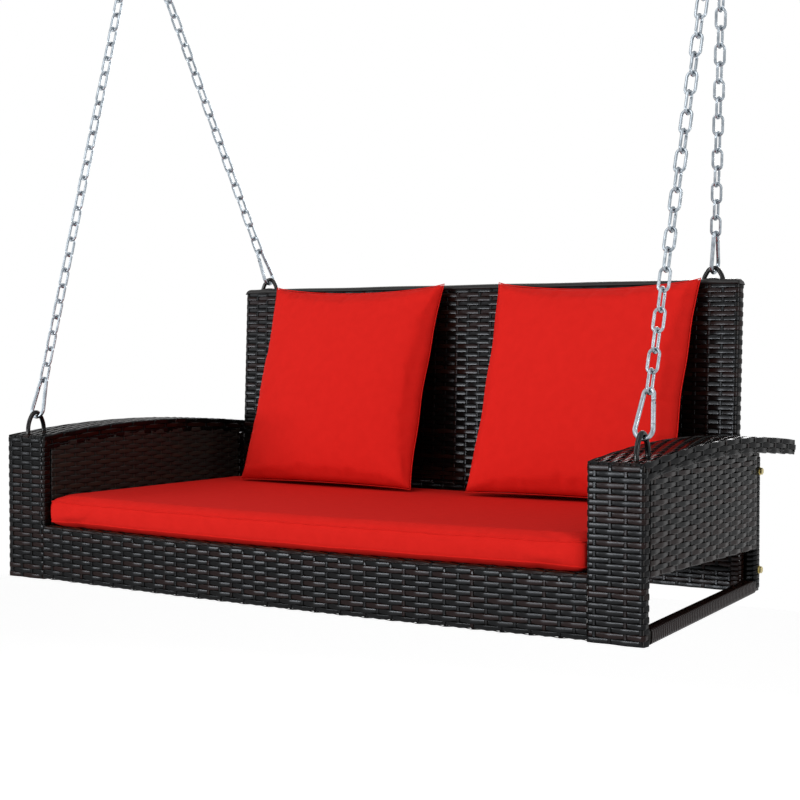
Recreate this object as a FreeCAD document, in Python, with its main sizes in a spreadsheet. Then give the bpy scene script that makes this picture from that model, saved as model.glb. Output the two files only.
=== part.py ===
import FreeCAD, Part
import Sketcher
import os
import re
from math import acos, asin, atan2, cos, pi, radians, sin, sqrt

# Two-seat hanging porch swing: woven strip over welded tube, chains, snap hooks and cushions.
# Sizes are written in the seat's own frame: X to the right as seen from the front, from mid width,
# Y back from the front face, Z up from the underside. Each placement then moves its piece so that
# the middle of the swing axis is the origin.

SIZES = [
    ("width", 1270, "over both arms"),
    ("arm_width", 92, "width of an arm at its front leg"),
    ("leg_depth", 20, "front leg, front to back"),
    ("leg_round", 5, "corner radius of the woven front leg"),
    ("leg_top", 256, "top of the front leg"),
    ("skin", 2, "thickness of the woven skin"),
    ("tube", 16, "square frame tube"),
    ("wall", 1.2, "tube wall"),
    ("stout_tube", 18, "square tube of the rear leg and bottom rail"),
    ("snug", 0.3, "clearance of a skin over its tube"),
    ("arch_radius", 2717, "radius of the armrest's top"),
    ("arch_crest", 276, "highest point of the armrest"),
    ("arch_mid", 316, "how far back the crest is"),
    ("arch_board", 25, "thickness of the armrest"),
    ("arch_back", 610, "rear end of the armrest"),
    ("splay", 51, "how far the outer panel comes in at the rear leg"),
    ("post_back", 579.5, "rear face of the rear leg"),
    ("outer_low_front", 97, "lower edge of the outer panel at the front"),
    ("outer_low_back", 76, "lower edge of the outer panel at the rear"),
    ("inner_low", 78, "lower edge of the inner panel"),
    ("deck_top", 97, "top of the seat weave"),
    ("apron_sag", 4.5, "bow of the front rails at mid width"),
    ("rail_inset", 4, "height of the front bottom rail over the apron's edge"),
    ("bearer_in", 283, "outer bearers under the seat weave, from the inner side of the arms"),
    ("seat_gap", 0.2, "gap between the seat frame and the backrest"),
    ("back_height", 538, "height of the backrest"),
    ("back_board", 25, "thickness of the backrest"),
    ("back_foot", 557.5, "front face of the backrest at its foot"),
    ("back_lean", 2.35, "lean of the backrest in degrees"),
    ("back_round", 6, "corner radius of the backrest's sides"),
    ("binding", 8, "height of the band along the top of the backrest"),
    ("binding_round", 20, "radius across the top of that band"),
    ("stile_in", 363, "uprights inside the backrest, from the inner side of the arms"),
    ("rod", 8, "rod of the hanging loops"),
    ("loop_width", 47, "outer width of a loop at its foot"),
    ("loop_crown", 16, "outer radius of a loop's crown"),
    ("loop_turn", 50, "how far the crown's arc turns each way, in degrees"),
    ("rod_play", 0.3, "clearance of a loop's leg in the weave"),
    ("front_loop_in", 26, "front loop from the outer face of the arm"),
    ("front_loop_back", 46, "front loop from the front"),
    ("front_loop_top", 302, "top of the front loop"),
    ("plate", 3, "plate under each front loop"),
    ("plate_length", 64, "plate under each front loop, front to back"),
    ("plate_drop", 10, "top of that plate under the armrest's top at the loop"),
    ("rear_loop_in", 53, "rear loop from the side of the backrest"),
    ("rear_loop_rise", 24, "top of the rear loop over the backrest"),
    ("axis_in", 20, "each top hook from the outer face of the arm"),
    ("axis_back", 332, "swing axis from the front"),
    ("axis_height", 1266, "swing axis over the bottom"),
    ("hook_wire", 7, "wire of the snap hooks"),
    ("hook_length", 80, "snap hook, end to end"),
    ("hook_wide", 35, "snap hook, width of the wide end"),
    ("hook_narrow", 22, "snap hook, width of the narrow end"),
    ("nose_height", 6, "gate's lower end over the wide bow"),
    ("neck_length", 8, "hook wire under the narrow bow, to the gate"),
    ("pin_drop", 4, "gate pin under the end of that wire"),
    ("pin_wide", 2.4, "diameter of the gate pin"),
    ("pin_length", 5.6, "length of the gate pin"),
    ("pin_play", 0.05, "radial clearance of the gate pin"),
    ("tongue", 3, "thickness of the hook's tongue"),
    ("tongue_wide", 5, "width of the hook's tongue"),
    ("tongue_play", 0.2, "clearance of the tongue each side"),
    ("slot_play", 0.6, "clearance under the tongue's round end"),
    ("gate_gap", 0.5, "gap between the gate's end and the hook's nose"),
    ("link_wire", 4.75, "wire of the chain"),
    ("link_width", 21, "outer width of a link"),
    ("link_pitch", 30.7, "nominal pitch of the chain"),
    ("touch", 0.3, "gap where two wires bear on each other"),
    ("link_apart", 3.1, "half the spacing of two links in one bow"),
    ("link_lift", 0.9, "how much a link beside the middle of a bow sits up"),
    ("loop_lift", 0.3, "how much a hook's bow clears the curved top of a loop"),
    ("bolt", 6, "bolts"),
    ("bolt_play", 0.25, "radial clearance of a bolt"),
    ("lean_play", 0.75, "radial clearance of a level bolt in the leaned backrest"),
    ("thread_play", 0.01, "radial clearance of a bolt in its nut"),
    ("bolt_proud", 1, "how far a bolt stands out of its nut"),
    ("head_flat", 10, "bolt head and nut across flats"),
    ("head_high", 4, "bolt head height"),
    ("nut_high", 5, "nut height"),
    ("washer_wide", 14, "washer diameter"),
    ("washer", 1.4, "washer thickness"),
    ("spacer_wide", 20, "spacer diameter"),
    ("bolt_edge", 6.3, "rear bolts from the back of the rear leg"),
    ("low_bolt", 38, "height of the lower rear bolt"),
    ("high_bolt", 207, "height of the upper rear bolt"),
    ("seat_bolt_front", 90, "front bolt between seat and arm, from the front"),
    ("seat_bolt_back", 470, "rear bolt between seat and arm, from the front"),
    ("back_bolt_in", 213, "bolts between seat and backrest, from the inner side of the arms"),
    ("cushion_play", 3, "cushion clear of each arm"),
    ("cushion_front", 4, "cushion behind the apron's face"),
    ("cushion_depth", 550, "seat cushion, front to back"),
    ("cushion_edge", 51, "seat cushion's edge height"),
    ("cushion_crown", 4, "rise of the seat cushion's top"),
    ("cushion_bulge", 3, "how far the cushion's edges swell"),
    ("rest_gap", 0.4, "gap under a cushion"),
    ("pillow", 404, "pillow, corner to corner"),
    ("pillow_waist", 9, "how far a pillow's sides draw in"),
    ("pillow_thick", 116, "pillow thickness at the middle"),
    ("pillow_edge", 6, "pillow thickness at its side seams"),
    ("pillow_lean", 17.2, "lean of the pillows in degrees"),
    ("pillow_foot", 443.4, "foot of the pillows from the front"),
    ("pillow_left_share", -0.453, "left pillow's middle, as a share of the seat's half width"),
    ("pillow_right_share", 0.51, "right pillow's middle, as a share of the seat's half width"),
]

SIDES = (("left", -1), ("right", 1))

doc = FreeCAD.newDocument("porch_swing_seat")
sheet = doc.addObject("Spreadsheet::Sheet", "Size")
for row, (alias, value, note) in enumerate(SIZES, start=1):
    sheet.set("A%d" % row, note)
    sheet.set("B%d" % row, str(value))
    sheet.setAlias("B%d" % row, alias)
doc.recompute()

ALIASES = re.compile(r"\b(" + "|".join(name for name, _, _ in SIZES) + r")\b")
NODES = []


def size(name):
    """A driving size, in millimetres, degrees or a count."""
    return float(sheet.get(name))


def worked(text):
    """The value of a formula over the sheet's sizes."""
    value = sheet.evalExpression(text)
    return float(getattr(value, "Value", value))


def bind(thing, prop, text):
    """Ties a property to a formula over the sheet's sizes."""
    thing.setExpression(prop, ALIASES.sub(r"Size.\1", text))


def node(thing, label, at=("0", "0", "0")):
    """Names a finished sub-part and seats it in the frame of the swing axis."""
    thing.Label = label
    place(thing, (at[0], "%s - axis_back" % at[1], "%s - axis_height" % at[2]))
    NODES.append(thing)
    return thing


def place(thing, corner):
    for axis, text in zip("xyz", corner):
        bind(thing, "Placement.Base." + axis, text)


# Formulas that several pieces share
INNER = "(width / 2 - arm_width)"
POST_OUT = "(width / 2 - splay)"
WOUND = "(stout_tube + 2 * skin)"
SLANT = "atan(splay / (post_back - leg_depth))"
FRONT_LOOP_OUT = "(width / 2 - front_loop_in)"
REAR_LOOP_OUT = "(%s - rear_loop_in)" % INNER
AXIS_OUT = "(width / 2 - axis_in)"
BEARER_OUT = "(%s - bearer_in)" % INNER
BACK_BOLT_OUT = "(%s - back_bolt_in)" % INNER
REAR_LOOP_TOP = "(back_height + rear_loop_rise)"


def arch(y, drop):
    """Height of the armrest's arc at y, at a depth under its top."""
    return "(arch_crest - arch_radius + sqrt((arch_radius - (%s))^2 - (%s - arch_mid)^2))" % (drop, y)


def box(name, corner, extent):
    solid = doc.addObject("Part::Box", name)
    for prop, text in zip(("Length", "Width", "Height"), extent):
        bind(solid, prop, text)
    place(solid, corner)
    return solid


def tube(name, corner, extent, along):
    """Square tube along X, Y or Z, open at both ends."""
    outer = box(name + "_outside", corner, extent)
    low, inside = [], []
    for axis, start, span in zip("xyz", corner, extent):
        if axis == along:
            low.append("%s - 1" % start)
            inside.append("%s + 2" % span)
        else:
            low.append("%s + wall" % start)
            inside.append("%s - 2 * wall" % span)
    bore = box(name + "_bore", low, inside)
    hollow = doc.addObject("Part::Cut", name)
    hollow.Base, hollow.Tool = outer, bore
    return hollow


def cylinder(name, corner, along, radius, length):
    """Round bar from a point, along X, Y or Z."""
    solid = doc.addObject("Part::Cylinder", name)
    bind(solid, "Radius", radius)
    bind(solid, "Height", length)
    turn = {"x": ((0, 1, 0), 90), "y": ((1, 0, 0), -90), "z": ((0, 0, 1), 0)}[along]
    solid.Placement = FreeCAD.Placement(FreeCAD.Vector(), FreeCAD.Rotation(FreeCAD.Vector(*turn[0]), turn[1]))
    place(solid, corner)
    return solid


def hexagon(name, corner, along, flats, length):
    """Hexagonal bar from a point, along X or Y."""
    solid = doc.addObject("Part::Prism", name)
    solid.Polygon = 6
    bind(solid, "Circumradius", "(%s) / sqrt(3)" % flats)
    bind(solid, "Height", length)
    turn = {"x": ((0, 1, 0), 90), "y": ((1, 0, 0), -90)}[along]
    solid.Placement = FreeCAD.Placement(FreeCAD.Vector(), FreeCAD.Rotation(FreeCAD.Vector(*turn[0]), turn[1]))
    place(solid, corner)
    return solid


def cut(name, base, tool):
    result = doc.addObject("Part::Cut", name)
    result.Base, result.Tool = base, tool
    return result


def fuse(name, pieces):
    result = doc.addObject("Part::MultiFuse", name)
    result.Shapes = pieces
    return result


def group(name, pieces):
    result = doc.addObject("Part::Compound", name)
    result.Links = pieces
    return result


# Sketches


def plane_of(body, role):
    return [f for f in body.Origin.OriginFeatures if f.Role == role][0]


def outline(body, name, role, offset, corners, arcs=None, holes=()):
    """Closed outline through corners given as formulas; arcs maps an edge to its radius and bulge side."""
    arcs = arcs or {}
    sketch = body.newObject("Sketcher::SketchObject", name)
    sketch.AttachmentSupport = [(plane_of(body, role), "")]
    sketch.MapMode = "FlatFace"
    bind(sketch, "AttachmentOffset.Base.z", offset)
    points = [FreeCAD.Vector(worked(x), worked(y), 0) for x, y in corners]
    count = len(points)
    ends = []
    for i, start in enumerate(points):
        stop = points[(i + 1) % count]
        if i in arcs:
            radius, side = worked(arcs[i][0]), arcs[i][1]
            half = (stop - start) * 0.5
            normal = FreeCAD.Vector(-half.y, half.x, 0).normalize() * side
            deep = sqrt(radius ** 2 - half.Length ** 2)
            centre = start + half - normal * deep
            turns = [atan2(end.y - centre.y, end.x - centre.x) for end in (start, stop)]
            first, last = (turns[1], turns[0]) if side > 0 else (turns[0], turns[1])
            if last < first:
                last += 2 * pi
            round_edge = Part.Circle(centre, FreeCAD.Vector(0, 0, 1), radius)
            sketch.addGeometry(Part.ArcOfCircle(round_edge, first, last))
            ends.append((2, 1) if side > 0 else (1, 2))
        else:
            sketch.addGeometry(Part.LineSegment(start, stop))
            ends.append((1, 2))
    for i in range(count):
        follower = (i + 1) % count
        sketch.addConstraint(Sketcher.Constraint("Coincident", i, ends[i][1], follower, ends[follower][0]))
    for i, (x, y) in enumerate(corners):
        for kind, text, number in (("DistanceX", x, points[i].x), ("DistanceY", y, points[i].y)):
            where = sketch.addConstraint(Sketcher.Constraint(kind, -1, 1, i, ends[i][0], number))
            bind(sketch, "Constraints[%d]" % where, text)
    for i, (radius, _) in arcs.items():
        where = sketch.addConstraint(Sketcher.Constraint("Radius", i, worked(radius)))
        bind(sketch, "Constraints[%d]" % where, radius)
    for x, y, radius in holes:
        index = sketch.addGeometry(Part.Circle(
            FreeCAD.Vector(worked(x), worked(y), 0), FreeCAD.Vector(0, 0, 1), worked(radius)))
        for kind, text, number in (("DistanceX", x, worked(x)), ("DistanceY", y, worked(y))):
            where = sketch.addConstraint(Sketcher.Constraint(kind, -1, 1, index, 3, number))
            bind(sketch, "Constraints[%d]" % where, text)
        where = sketch.addConstraint(Sketcher.Constraint("Radius", index, worked(radius)))
        bind(sketch, "Constraints[%d]" % where, radius)
    return sketch


def pad(body, name, sketch, length, back=False):
    feature = body.newObject("PartDesign::Pad", name)
    feature.Profile = sketch
    feature.Reversed = back
    bind(feature, "Length", length)
    return feature


def pocket(body, name, sketch, length, back=False):
    feature = body.newObject("PartDesign::Pocket", name)
    feature.Profile = sketch
    feature.Reversed = back
    bind(feature, "Length", length)
    return feature


# Arms: welded tube frames and their woven skins


def arched(label, side, near, far, front, back, top, bottom, hollow):
    """Board between two concentric arcs, from X near to X far, with a channel inside it."""
    body = doc.addObject("PartDesign::Body", label)
    start = near if side > 0 else "-(%s)" % far

    def profile(name, offset, front, back, top, bottom):
        corners = [(front, arch(front, bottom)), (back, arch(back, bottom)),
                   (back, arch(back, top)), (front, arch(front, top))]
        arcs = {0: ("arch_radius - (%s)" % bottom, 1), 2: ("arch_radius - (%s)" % top, -1)}
        return outline(body, name, "YZ_Plane", offset, corners, arcs)

    pad(body, label + "_board", profile(label + "_profile", start, front, back, top, bottom),
        "(%s) - (%s)" % (far, near))
    rim, front_rim, back_rim = hollow
    channel = profile(label + "_channel", "%s + %s" % (start, rim), "(%s + %s)" % (front, front_rim),
                      "(%s - %s)" % (back, back_rim), "%s + %s" % (top, rim), "%s - %s" % (bottom, rim))
    pocket(body, label + "_hollow", channel, "(%s) - (%s) - 2 * %s" % (far, near, rim), back=True)
    return body


def outboard(side, near, extent):
    """X of a block's low corner, for a block that starts at near from mid width on either side."""
    return near if side > 0 else "-(%s) - (%s)" % (near, extent)


def slanted(name, side, start, long, lift, across, rim, inset):
    """Square hollow that runs along the splay, a distance behind the front leg."""
    outer = box(name + "_outside", ("0", "0", "0"), (across, long, across))
    bore = box(name + "_bore", (rim, "-1", rim), ("%s - 2 * %s" % (across, rim), "%s + 2" % long,
                                                  "%s - 2 * %s" % (across, rim)))
    hollow = cut(name, outer, bore)
    hollow.Placement = FreeCAD.Placement(FreeCAD.Vector(), FreeCAD.Rotation(FreeCAD.Vector(0, 0, 1), 1))
    bind(hollow, "Placement.Rotation.Angle", "%d * %s" % (side, SLANT))
    inward = "(%s + %s)" % (inset, across) if side > 0 else "(%s)" % inset
    along, aside = "sin(%s)" % SLANT, "cos(%s)" % SLANT
    x = "%d * (width / 2 - (%s) * %s - %s * %s)" % (side, start, along, inward, aside)
    y = "leg_depth + (%s) * %s - %s * %s" % (start, aside, inward, along)
    place(hollow, (x, y, lift))
    return hollow


def slant_stop(leg):
    """Length along the splay from the front leg to a rear leg of a given depth."""
    return "((post_back - (%s) - snug - leg_depth) / cos(%s))" % (leg, SLANT)


def bolt_holes(name, side, near, extent, places):
    """Clearance holes along X, at places given as (Y, Z)."""
    start = outboard(side, near, extent) + " - 1"
    holes = [cylinder("%s_%d" % (name, i), (start, y, z), "x", "bolt / 2 + bolt_play", extent + " + 2")
             for i, (y, z) in enumerate(places)]
    return fuse(name, holes)


REAR_BOLTS = [("post_back - bolt_edge", lift) for lift in ("low_bolt", "high_bolt")]
SEAT_BOLTS = [(back, "inner_low + tube / 2") for back in ("seat_bolt_front", "seat_bolt_back")]
BETWEEN = "(arm_width - 2 * skin - 2 * tube)"


def arm_frame(name, side):
    inner_x = outboard(side, INNER + " + skin", "tube")
    outer_x = outboard(side, "width / 2 - skin - tube", "tube")
    between_x = outboard(side, INNER + " + skin + tube", BETWEEN)
    top, bottom = "skin + snug", "arch_board - skin - snug"
    front, rear = "(skin + tube)", "(arch_back - skin - tube)"
    upright = ("tube", "tube", "leg_top - 2 * skin")
    cross = (BETWEEN, "tube", "tube")
    pieces = [
        tube(name + "_inner_upright", (inner_x, "skin", "skin"), upright, "z"),
        tube(name + "_outer_upright", (outer_x, "skin", "skin"), upright, "z"),
        tube(name + "_foot_rail", (between_x, "skin", "skin"), cross, "x"),
        tube(name + "_head_rail", (between_x, "skin", "leg_top - skin - tube"), cross, "x"),
        arched(name + "_inner_arch", side, INNER + " + skin", INNER + " + skin + tube", front, rear,
               top, bottom, ("wall", "-1", "-1")),
        arched(name + "_outer_arch", side, "width / 2 - skin - tube", "width / 2 - skin", front, rear,
               top, bottom, ("wall", "-1", "-1")),
    ]
    tail = (outboard(side, INNER + " + skin", "arm_width - 2 * skin"), rear, arch(rear, bottom))
    pieces.append(tube(name + "_tail_rail", tail, ("arm_width - 2 * skin", "tube", "tube"), "x"))
    leg_near = POST_OUT + " - skin - stout_tube"
    leg_corner = (outboard(side, leg_near, "stout_tube"), "post_back - skin - stout_tube", "skin")
    leg_height = arch("post_back", "arch_board + snug") + " - skin"
    leg = tube(name + "_leg_blank", leg_corner, ("stout_tube", "stout_tube", leg_height), "z")
    leg_holes = bolt_holes(name + "_leg_holes", side, leg_near, "stout_tube", REAR_BOLTS)
    pieces.append(cut(name + "_rear_leg", leg, leg_holes))
    post_x = outboard(side, INNER + " + skin", "tube")
    pieces.append(tube(name + "_inner_post", (post_x, "back_foot - tube - snug", "inner_low + tube"),
                       ("tube", "tube", arch("back_foot", "arch_board + snug") + " - inner_low - tube"), "z"))
    side_rail = tube(name + "_side_rail_blank", (post_x, "leg_depth", "inner_low"),
                     ("tube", "back_foot - snug - leg_depth", "tube"), "y")
    rail_holes = bolt_holes(name + "_rail_holes", side, INNER + " + skin", "tube", SEAT_BOLTS)
    pieces.append(cut(name + "_side_rail", side_rail, rail_holes))
    stop = slant_stop(WOUND)
    pieces.append(slanted(name + "_bottom_rail", side, "skin", stop + " - skin", "skin",
                          "stout_tube", "wall", "skin"))
    pieces.append(slanted(name + "_panel_rail", side, "skin", stop + " - skin", "outer_low_front + skin",
                          "tube", "wall", "skin"))
    plate_corner = (between_x, "skin + tube", arch("front_loop_back", "plate_drop + plate"))
    pieces.append(box(name + "_loop_plate", plate_corner, (BETWEEN, "plate_length", "plate")))
    return node(group(name, pieces), name)


def rounded(x0, y0, x1, y1, radius):
    """Corners and arcs of a rounded rectangle."""
    corners = [("%s + %s" % (x0, radius), y0), ("%s - %s" % (x1, radius), y0),
               (x1, "%s + %s" % (y0, radius)), (x1, "%s - %s" % (y1, radius)),
               ("%s - %s" % (x1, radius), y1), ("%s + %s" % (x0, radius), y1),
               (x0, "%s - %s" % (y1, radius)), (x0, "%s + %s" % (y0, radius))]
    return corners, {edge: (radius, -1) for edge in (1, 3, 5, 7)}


def rectangle(x0, y0, x1, y1):
    return [(x0, y0), (x1, y0), (x1, y1), (x0, y1)]


def leg_weave(name, side):
    """Woven box over the two front uprights, open below and where the armrest leaves it."""
    x0, x1 = (INNER, "width / 2") if side > 0 else ("-(width / 2)", "-" + INNER)
    body = doc.addObject("PartDesign::Body", name)
    corners, arcs = rounded(x0, "0", x1, "leg_depth", "leg_round")
    pad(body, name + "_block", outline(body, name + "_plan", "XY_Plane", "0", corners, arcs), "leg_top")
    inside = rectangle(x0 + " + skin", "skin", x1 + " - skin", "leg_depth - skin")
    hollow = outline(body, name + "_inside", "XY_Plane", "0", inside)
    pocket(body, name + "_hollow", hollow, "leg_top - skin", True)
    passage = rectangle(x0 + " + skin", "leg_depth - skin - 1", x1 + " - skin", "leg_depth + 1")
    pocket(body, name + "_passage", outline(body, name + "_way", "XY_Plane", "leg_top", passage),
           "leg_top - " + arch("leg_depth", "arch_board - skin"))
    return node(body, name)


def armrest_weave(name, side):
    body = arched(name, side, INNER, "width / 2", "leg_depth", "arch_back", "0", "arch_board",
                  ("skin", "-1", "skin"))
    legs = [("%d * %s" % (side, FRONT_LOOP_OUT), "front_loop_back %s (loop_width - rod) / 2" % sign,
             "rod / 2 + rod_play") for sign in "-+"]
    holes = outline(body, name + "_loop_holes", "XY_Plane", "arch_crest", [], None, legs)
    pocket(body, name + "_holes", holes, "arch_crest - " + arch("front_loop_back", "plate_drop - skin"))
    return node(body, name)


def outer_weave(name, side):
    """Woven panel that comes in towards the rear leg; its lower edge falls a little to the rear."""
    body = doc.addObject("PartDesign::Body", name)
    length = slant_stop(WOUND)
    back_y = "(post_back - %s)" % WOUND
    corners = [("0", "outer_low_front"), (length, "outer_low_back"),
               (length, arch(back_y, "arch_board + snug")), ("0", arch("leg_depth", "arch_board + snug"))]
    face = outline(body, name + "_face", "YZ_Plane", "0", corners, {2: ("arch_radius - arch_board", -1)})
    pad(body, name + "_skin", face, "skin", side > 0)
    body.Placement = FreeCAD.Placement(FreeCAD.Vector(), FreeCAD.Rotation(FreeCAD.Vector(0, 0, 1), 1))
    bind(body, "Placement.Rotation.Angle", "%d * %s" % (side, SLANT))
    return node(body, name, ("%d * width / 2" % side, "leg_depth", "0"))


def inner_weave(name, side):
    body = doc.addObject("PartDesign::Body", name)
    back_y = "(back_foot - snug)"
    corners = [("leg_depth", "inner_low"), (back_y, "inner_low"), (back_y, arch(back_y, "arch_board + snug")),
               ("leg_depth", arch("leg_depth", "arch_board + snug"))]
    holes = [(y, z, "bolt / 2 + bolt_play") for y, z in SEAT_BOLTS]
    face = outline(body, name + "_face", "YZ_Plane", "%d * %s" % (side, INNER), corners,
                   {2: ("arch_radius - arch_board", -1)}, holes)
    pad(body, name + "_skin", face, "skin", side < 0)
    return node(body, name)


def wound_strip(name, side):
    """Strip wound round the bottom rail and the rear leg."""
    start = "(%s * tan(%s) + snug)" % (WOUND, SLANT)
    long = "%s - %s" % (slant_stop(WOUND), start)
    rail = slanted(name + "_rail", side, start, long, "0", WOUND, "skin", "0")
    near = POST_OUT + " - " + WOUND
    corner = (outboard(side, near, WOUND), "post_back - " + WOUND, "0")
    height = arch("post_back", "arch_board + snug")
    outside = box(name + "_leg_outside", corner, (WOUND, WOUND, height))
    inside = box(name + "_leg_inside", (corner[0] + " + skin", corner[1] + " + skin", "-1"),
                 ("stout_tube", "stout_tube", height + " + 2"))
    sleeve = cut(name + "_leg_sleeve", outside, inside)
    leg = cut(name + "_leg", sleeve, bolt_holes(name + "_holes", side, near, WOUND, REAR_BOLTS))
    return node(group(name, [rail, leg]), name)


for side_name, side in SIDES:
    arm_frame("arm_frame_" + side_name, side)
    leg_weave("leg_weave_" + side_name, side)
    armrest_weave("armrest_weave_" + side_name, side)
    outer_weave("outer_weave_" + side_name, side)
    inner_weave("inner_weave_" + side_name, side)
    wound_strip("wound_strip_" + side_name, side)

# Seat: bowed front and rear rails, side rails, bearers and the woven deck and apron

BOW_RADIUS = "((%s^2 + apron_sag^2) / (2 * apron_sag))" % INNER


def bow_drop(x):
    """How far a bowed rail is below its ends, at X from mid width."""
    return "(sqrt(%s^2 - (%s)^2) - %s + apron_sag)" % (BOW_RADIUS, x, BOW_RADIUS)


def bowed_face(body, name, offset, top, bottom, reach):
    corners = [("-" + reach, bottom), (reach, bottom), (reach, top), ("-" + reach, top)]
    return outline(body, name, "XZ_Plane", offset, corners, {0: (BOW_RADIUS, -1), 2: (BOW_RADIUS, 1)})


def bowed_rail(name, front, bottom):
    """Square tube across the seat that bows down between its ends."""
    body = doc.addObject("PartDesign::Body", name)
    block = bowed_face(body, name + "_side", "-(%s)" % front, bottom + " + tube", bottom, INNER)
    pad(body, name + "_block", block, "tube", True)
    hollow = bowed_face(body, name + "_inside", "-(%s + wall)" % front, bottom + " + tube - wall",
                        bottom + " + wall", "(%s + 1)" % INNER)
    pocket(body, name + "_bore", hollow, "tube - 2 * wall")
    return body


RAIL_LOW = "(deck_top - skin - tube)"
REAR_RAIL = "(back_foot + tan(back_lean) * %s - tube - seat_gap)" % RAIL_LOW


def seat_frame(name):
    pieces = [bowed_rail(name + "_front_rail", "skin", RAIL_LOW)]
    rear = bowed_rail(name + "_rear_blank", REAR_RAIL, RAIL_LOW)
    back_holes = [cylinder("%s_back_hole_%d" % (name, i),
                           ("%d * %s" % (s, BACK_BOLT_OUT), REAR_RAIL + " - 1", BACK_BOLT_UP),
                           "y", "bolt / 2 + bolt_play", "tube + 2") for i, (_, s) in enumerate(SIDES)]
    pieces.append(cut(name + "_rear_rail", rear, fuse(name + "_back_holes", back_holes)))
    lengthwise = ("tube", "%s - skin - tube" % REAR_RAIL, "tube")
    for side_name, side in SIDES:
        near = INNER + " - tube"
        rail_corner = (outboard(side, near, "tube"), "skin + tube", "inner_low")
        rail = tube(name + "_side_blank_" + side_name, rail_corner, lengthwise, "y")
        pieces.append(cut(name + "_side_rail_" + side_name, rail,
                          bolt_holes(name + "_side_holes_" + side_name, side, near, "tube", SEAT_BOLTS)))
    lanes = (("-%s - tube / 2" % BEARER_OUT, BEARER_OUT + " - tube / 2"), ("-tube / 2", "0"),
             (BEARER_OUT + " - tube / 2", BEARER_OUT + " - tube / 2"))
    for i, (x, lowest) in enumerate(lanes):
        bearer_corner = (x, "skin + tube", "%s - %s" % (RAIL_LOW, bow_drop(lowest)))
        pieces.append(tube("%s_bearer_%d" % (name, i), bearer_corner, lengthwise, "y"))
    return node(group(name, pieces), name)


BACK_BOLT_UP = "(%s + tube / 2 - %s)" % (RAIL_LOW, bow_drop(BACK_BOLT_OUT))


def apron_frame(name):
    """Bowed rail under the apron and the short posts that hang it from the seat."""
    pieces = [bowed_rail(name + "_rail", "skin", "rail_inset")]
    foot = "(rail_inset + tube - %s)" % bow_drop(BEARER_OUT + " + tube / 2")
    head = "(%s - %s)" % (RAIL_LOW, bow_drop(BEARER_OUT + " - tube / 2"))
    post = ("tube", "tube", head + " - " + foot)
    for i, x in enumerate(("-%s - tube / 2" % BEARER_OUT, BEARER_OUT + " - tube / 2")):
        pieces.append(tube("%s_post_%d" % (name, i), (x, "skin", foot), post, "z"))
    return node(group(name, pieces), name)


def apron_weave(name):
    body = doc.addObject("PartDesign::Body", name)
    pad(body, name + "_skin", bowed_face(body, name + "_face", "0", "deck_top", "0", INNER), "skin", True)
    return node(body, name)


def seat_deck_weave(name):
    body = doc.addObject("PartDesign::Body", name)
    face = bowed_face(body, name + "_edge", "-skin", "deck_top", "deck_top - skin", INNER)
    pad(body, name + "_skin", face, "back_foot - skin - snug", True)
    return node(body, name)


seat_frame("seat_frame")
apron_frame("apron_frame")
apron_weave("apron_weave")
seat_deck_weave("seat_deck_weave")

# Backrest: drawn upright from its foot, then leaned back as a whole

BOARD_IN = "(back_board - 2 * skin)"
SPINE_TOP = "(back_height - binding)"


def leaned(thing, label, x="0", depth="0"):
    """Leans a piece back about the foot of the board, from a depth within the board."""
    thing.Placement = FreeCAD.Placement(FreeCAD.Vector(), FreeCAD.Rotation(FreeCAD.Vector(-1, 0, 0), 1))
    bind(thing, "Placement.Rotation.Angle", "back_lean")
    return node(thing, label, (x, "back_foot + %s * cos(back_lean)" % depth, "-%s * sin(back_lean)" % depth))


def on_board(y, z):
    """A point of the seat's own frame, as depth and height on the upright backrest."""
    depth, lean = "((%s) - back_foot)" % y, "back_lean"
    return ("(%s * cos(%s) - (%s) * sin(%s))" % (depth, lean, z, lean),
            "(%s * sin(%s) + (%s) * cos(%s))" % (depth, lean, z, lean))


def backrest_frame(name):
    across = ("tube", BOARD_IN, SPINE_TOP + " - skin")
    pieces = []
    for side_name, side in SIDES:
        near = INNER + " - skin - tube"
        post = tube(name + "_blank_" + side_name, (outboard(side, near, "tube"), "skin", "skin"), across, "z")
        places = [on_board(y, z) for y, z in REAR_BOLTS]
        holes = bolt_holes(name + "_holes_" + side_name, side, near, "tube", places)
        pieces.append(cut(name + "_post_" + side_name, post, holes))
    span = "2 * (%s - skin - tube)" % INNER
    left = "-(%s - skin - tube)" % INNER
    for label, low in (("foot_rail", "skin"), ("head_rail", SPINE_TOP + " - tube")):
        pieces.append(tube("%s_%s" % (name, label), (left, "skin", low), (span, BOARD_IN, "tube"), "x"))
    seat_rail = tube(name + "_seat_blank", (left, "skin", RAIL_LOW), (span, BOARD_IN, "tube"), "x")
    up = on_board(REAR_RAIL + " + tube", BACK_BOLT_UP)[1]
    holes = [cylinder("%s_seat_hole_%d" % (name, i), ("%d * %s" % (s, BACK_BOLT_OUT), "0", up), "y",
                      "bolt / 2 + lean_play", "back_board") for i, (_, s) in enumerate(SIDES)]
    pieces.append(cut(name + "_seat_rail", seat_rail, fuse(name + "_seat_holes", holes)))
    for side_name, side in SIDES:
        stile = (outboard(side, INNER + " - stile_in", "tube"), "skin", RAIL_LOW + " + tube")
        pieces.append(tube(name + "_stile_" + side_name, stile,
                           ("tube", BOARD_IN, "%s - tube - %s - tube" % (SPINE_TOP, RAIL_LOW)), "z"))
    return leaned(group(name, pieces), name)


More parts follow.
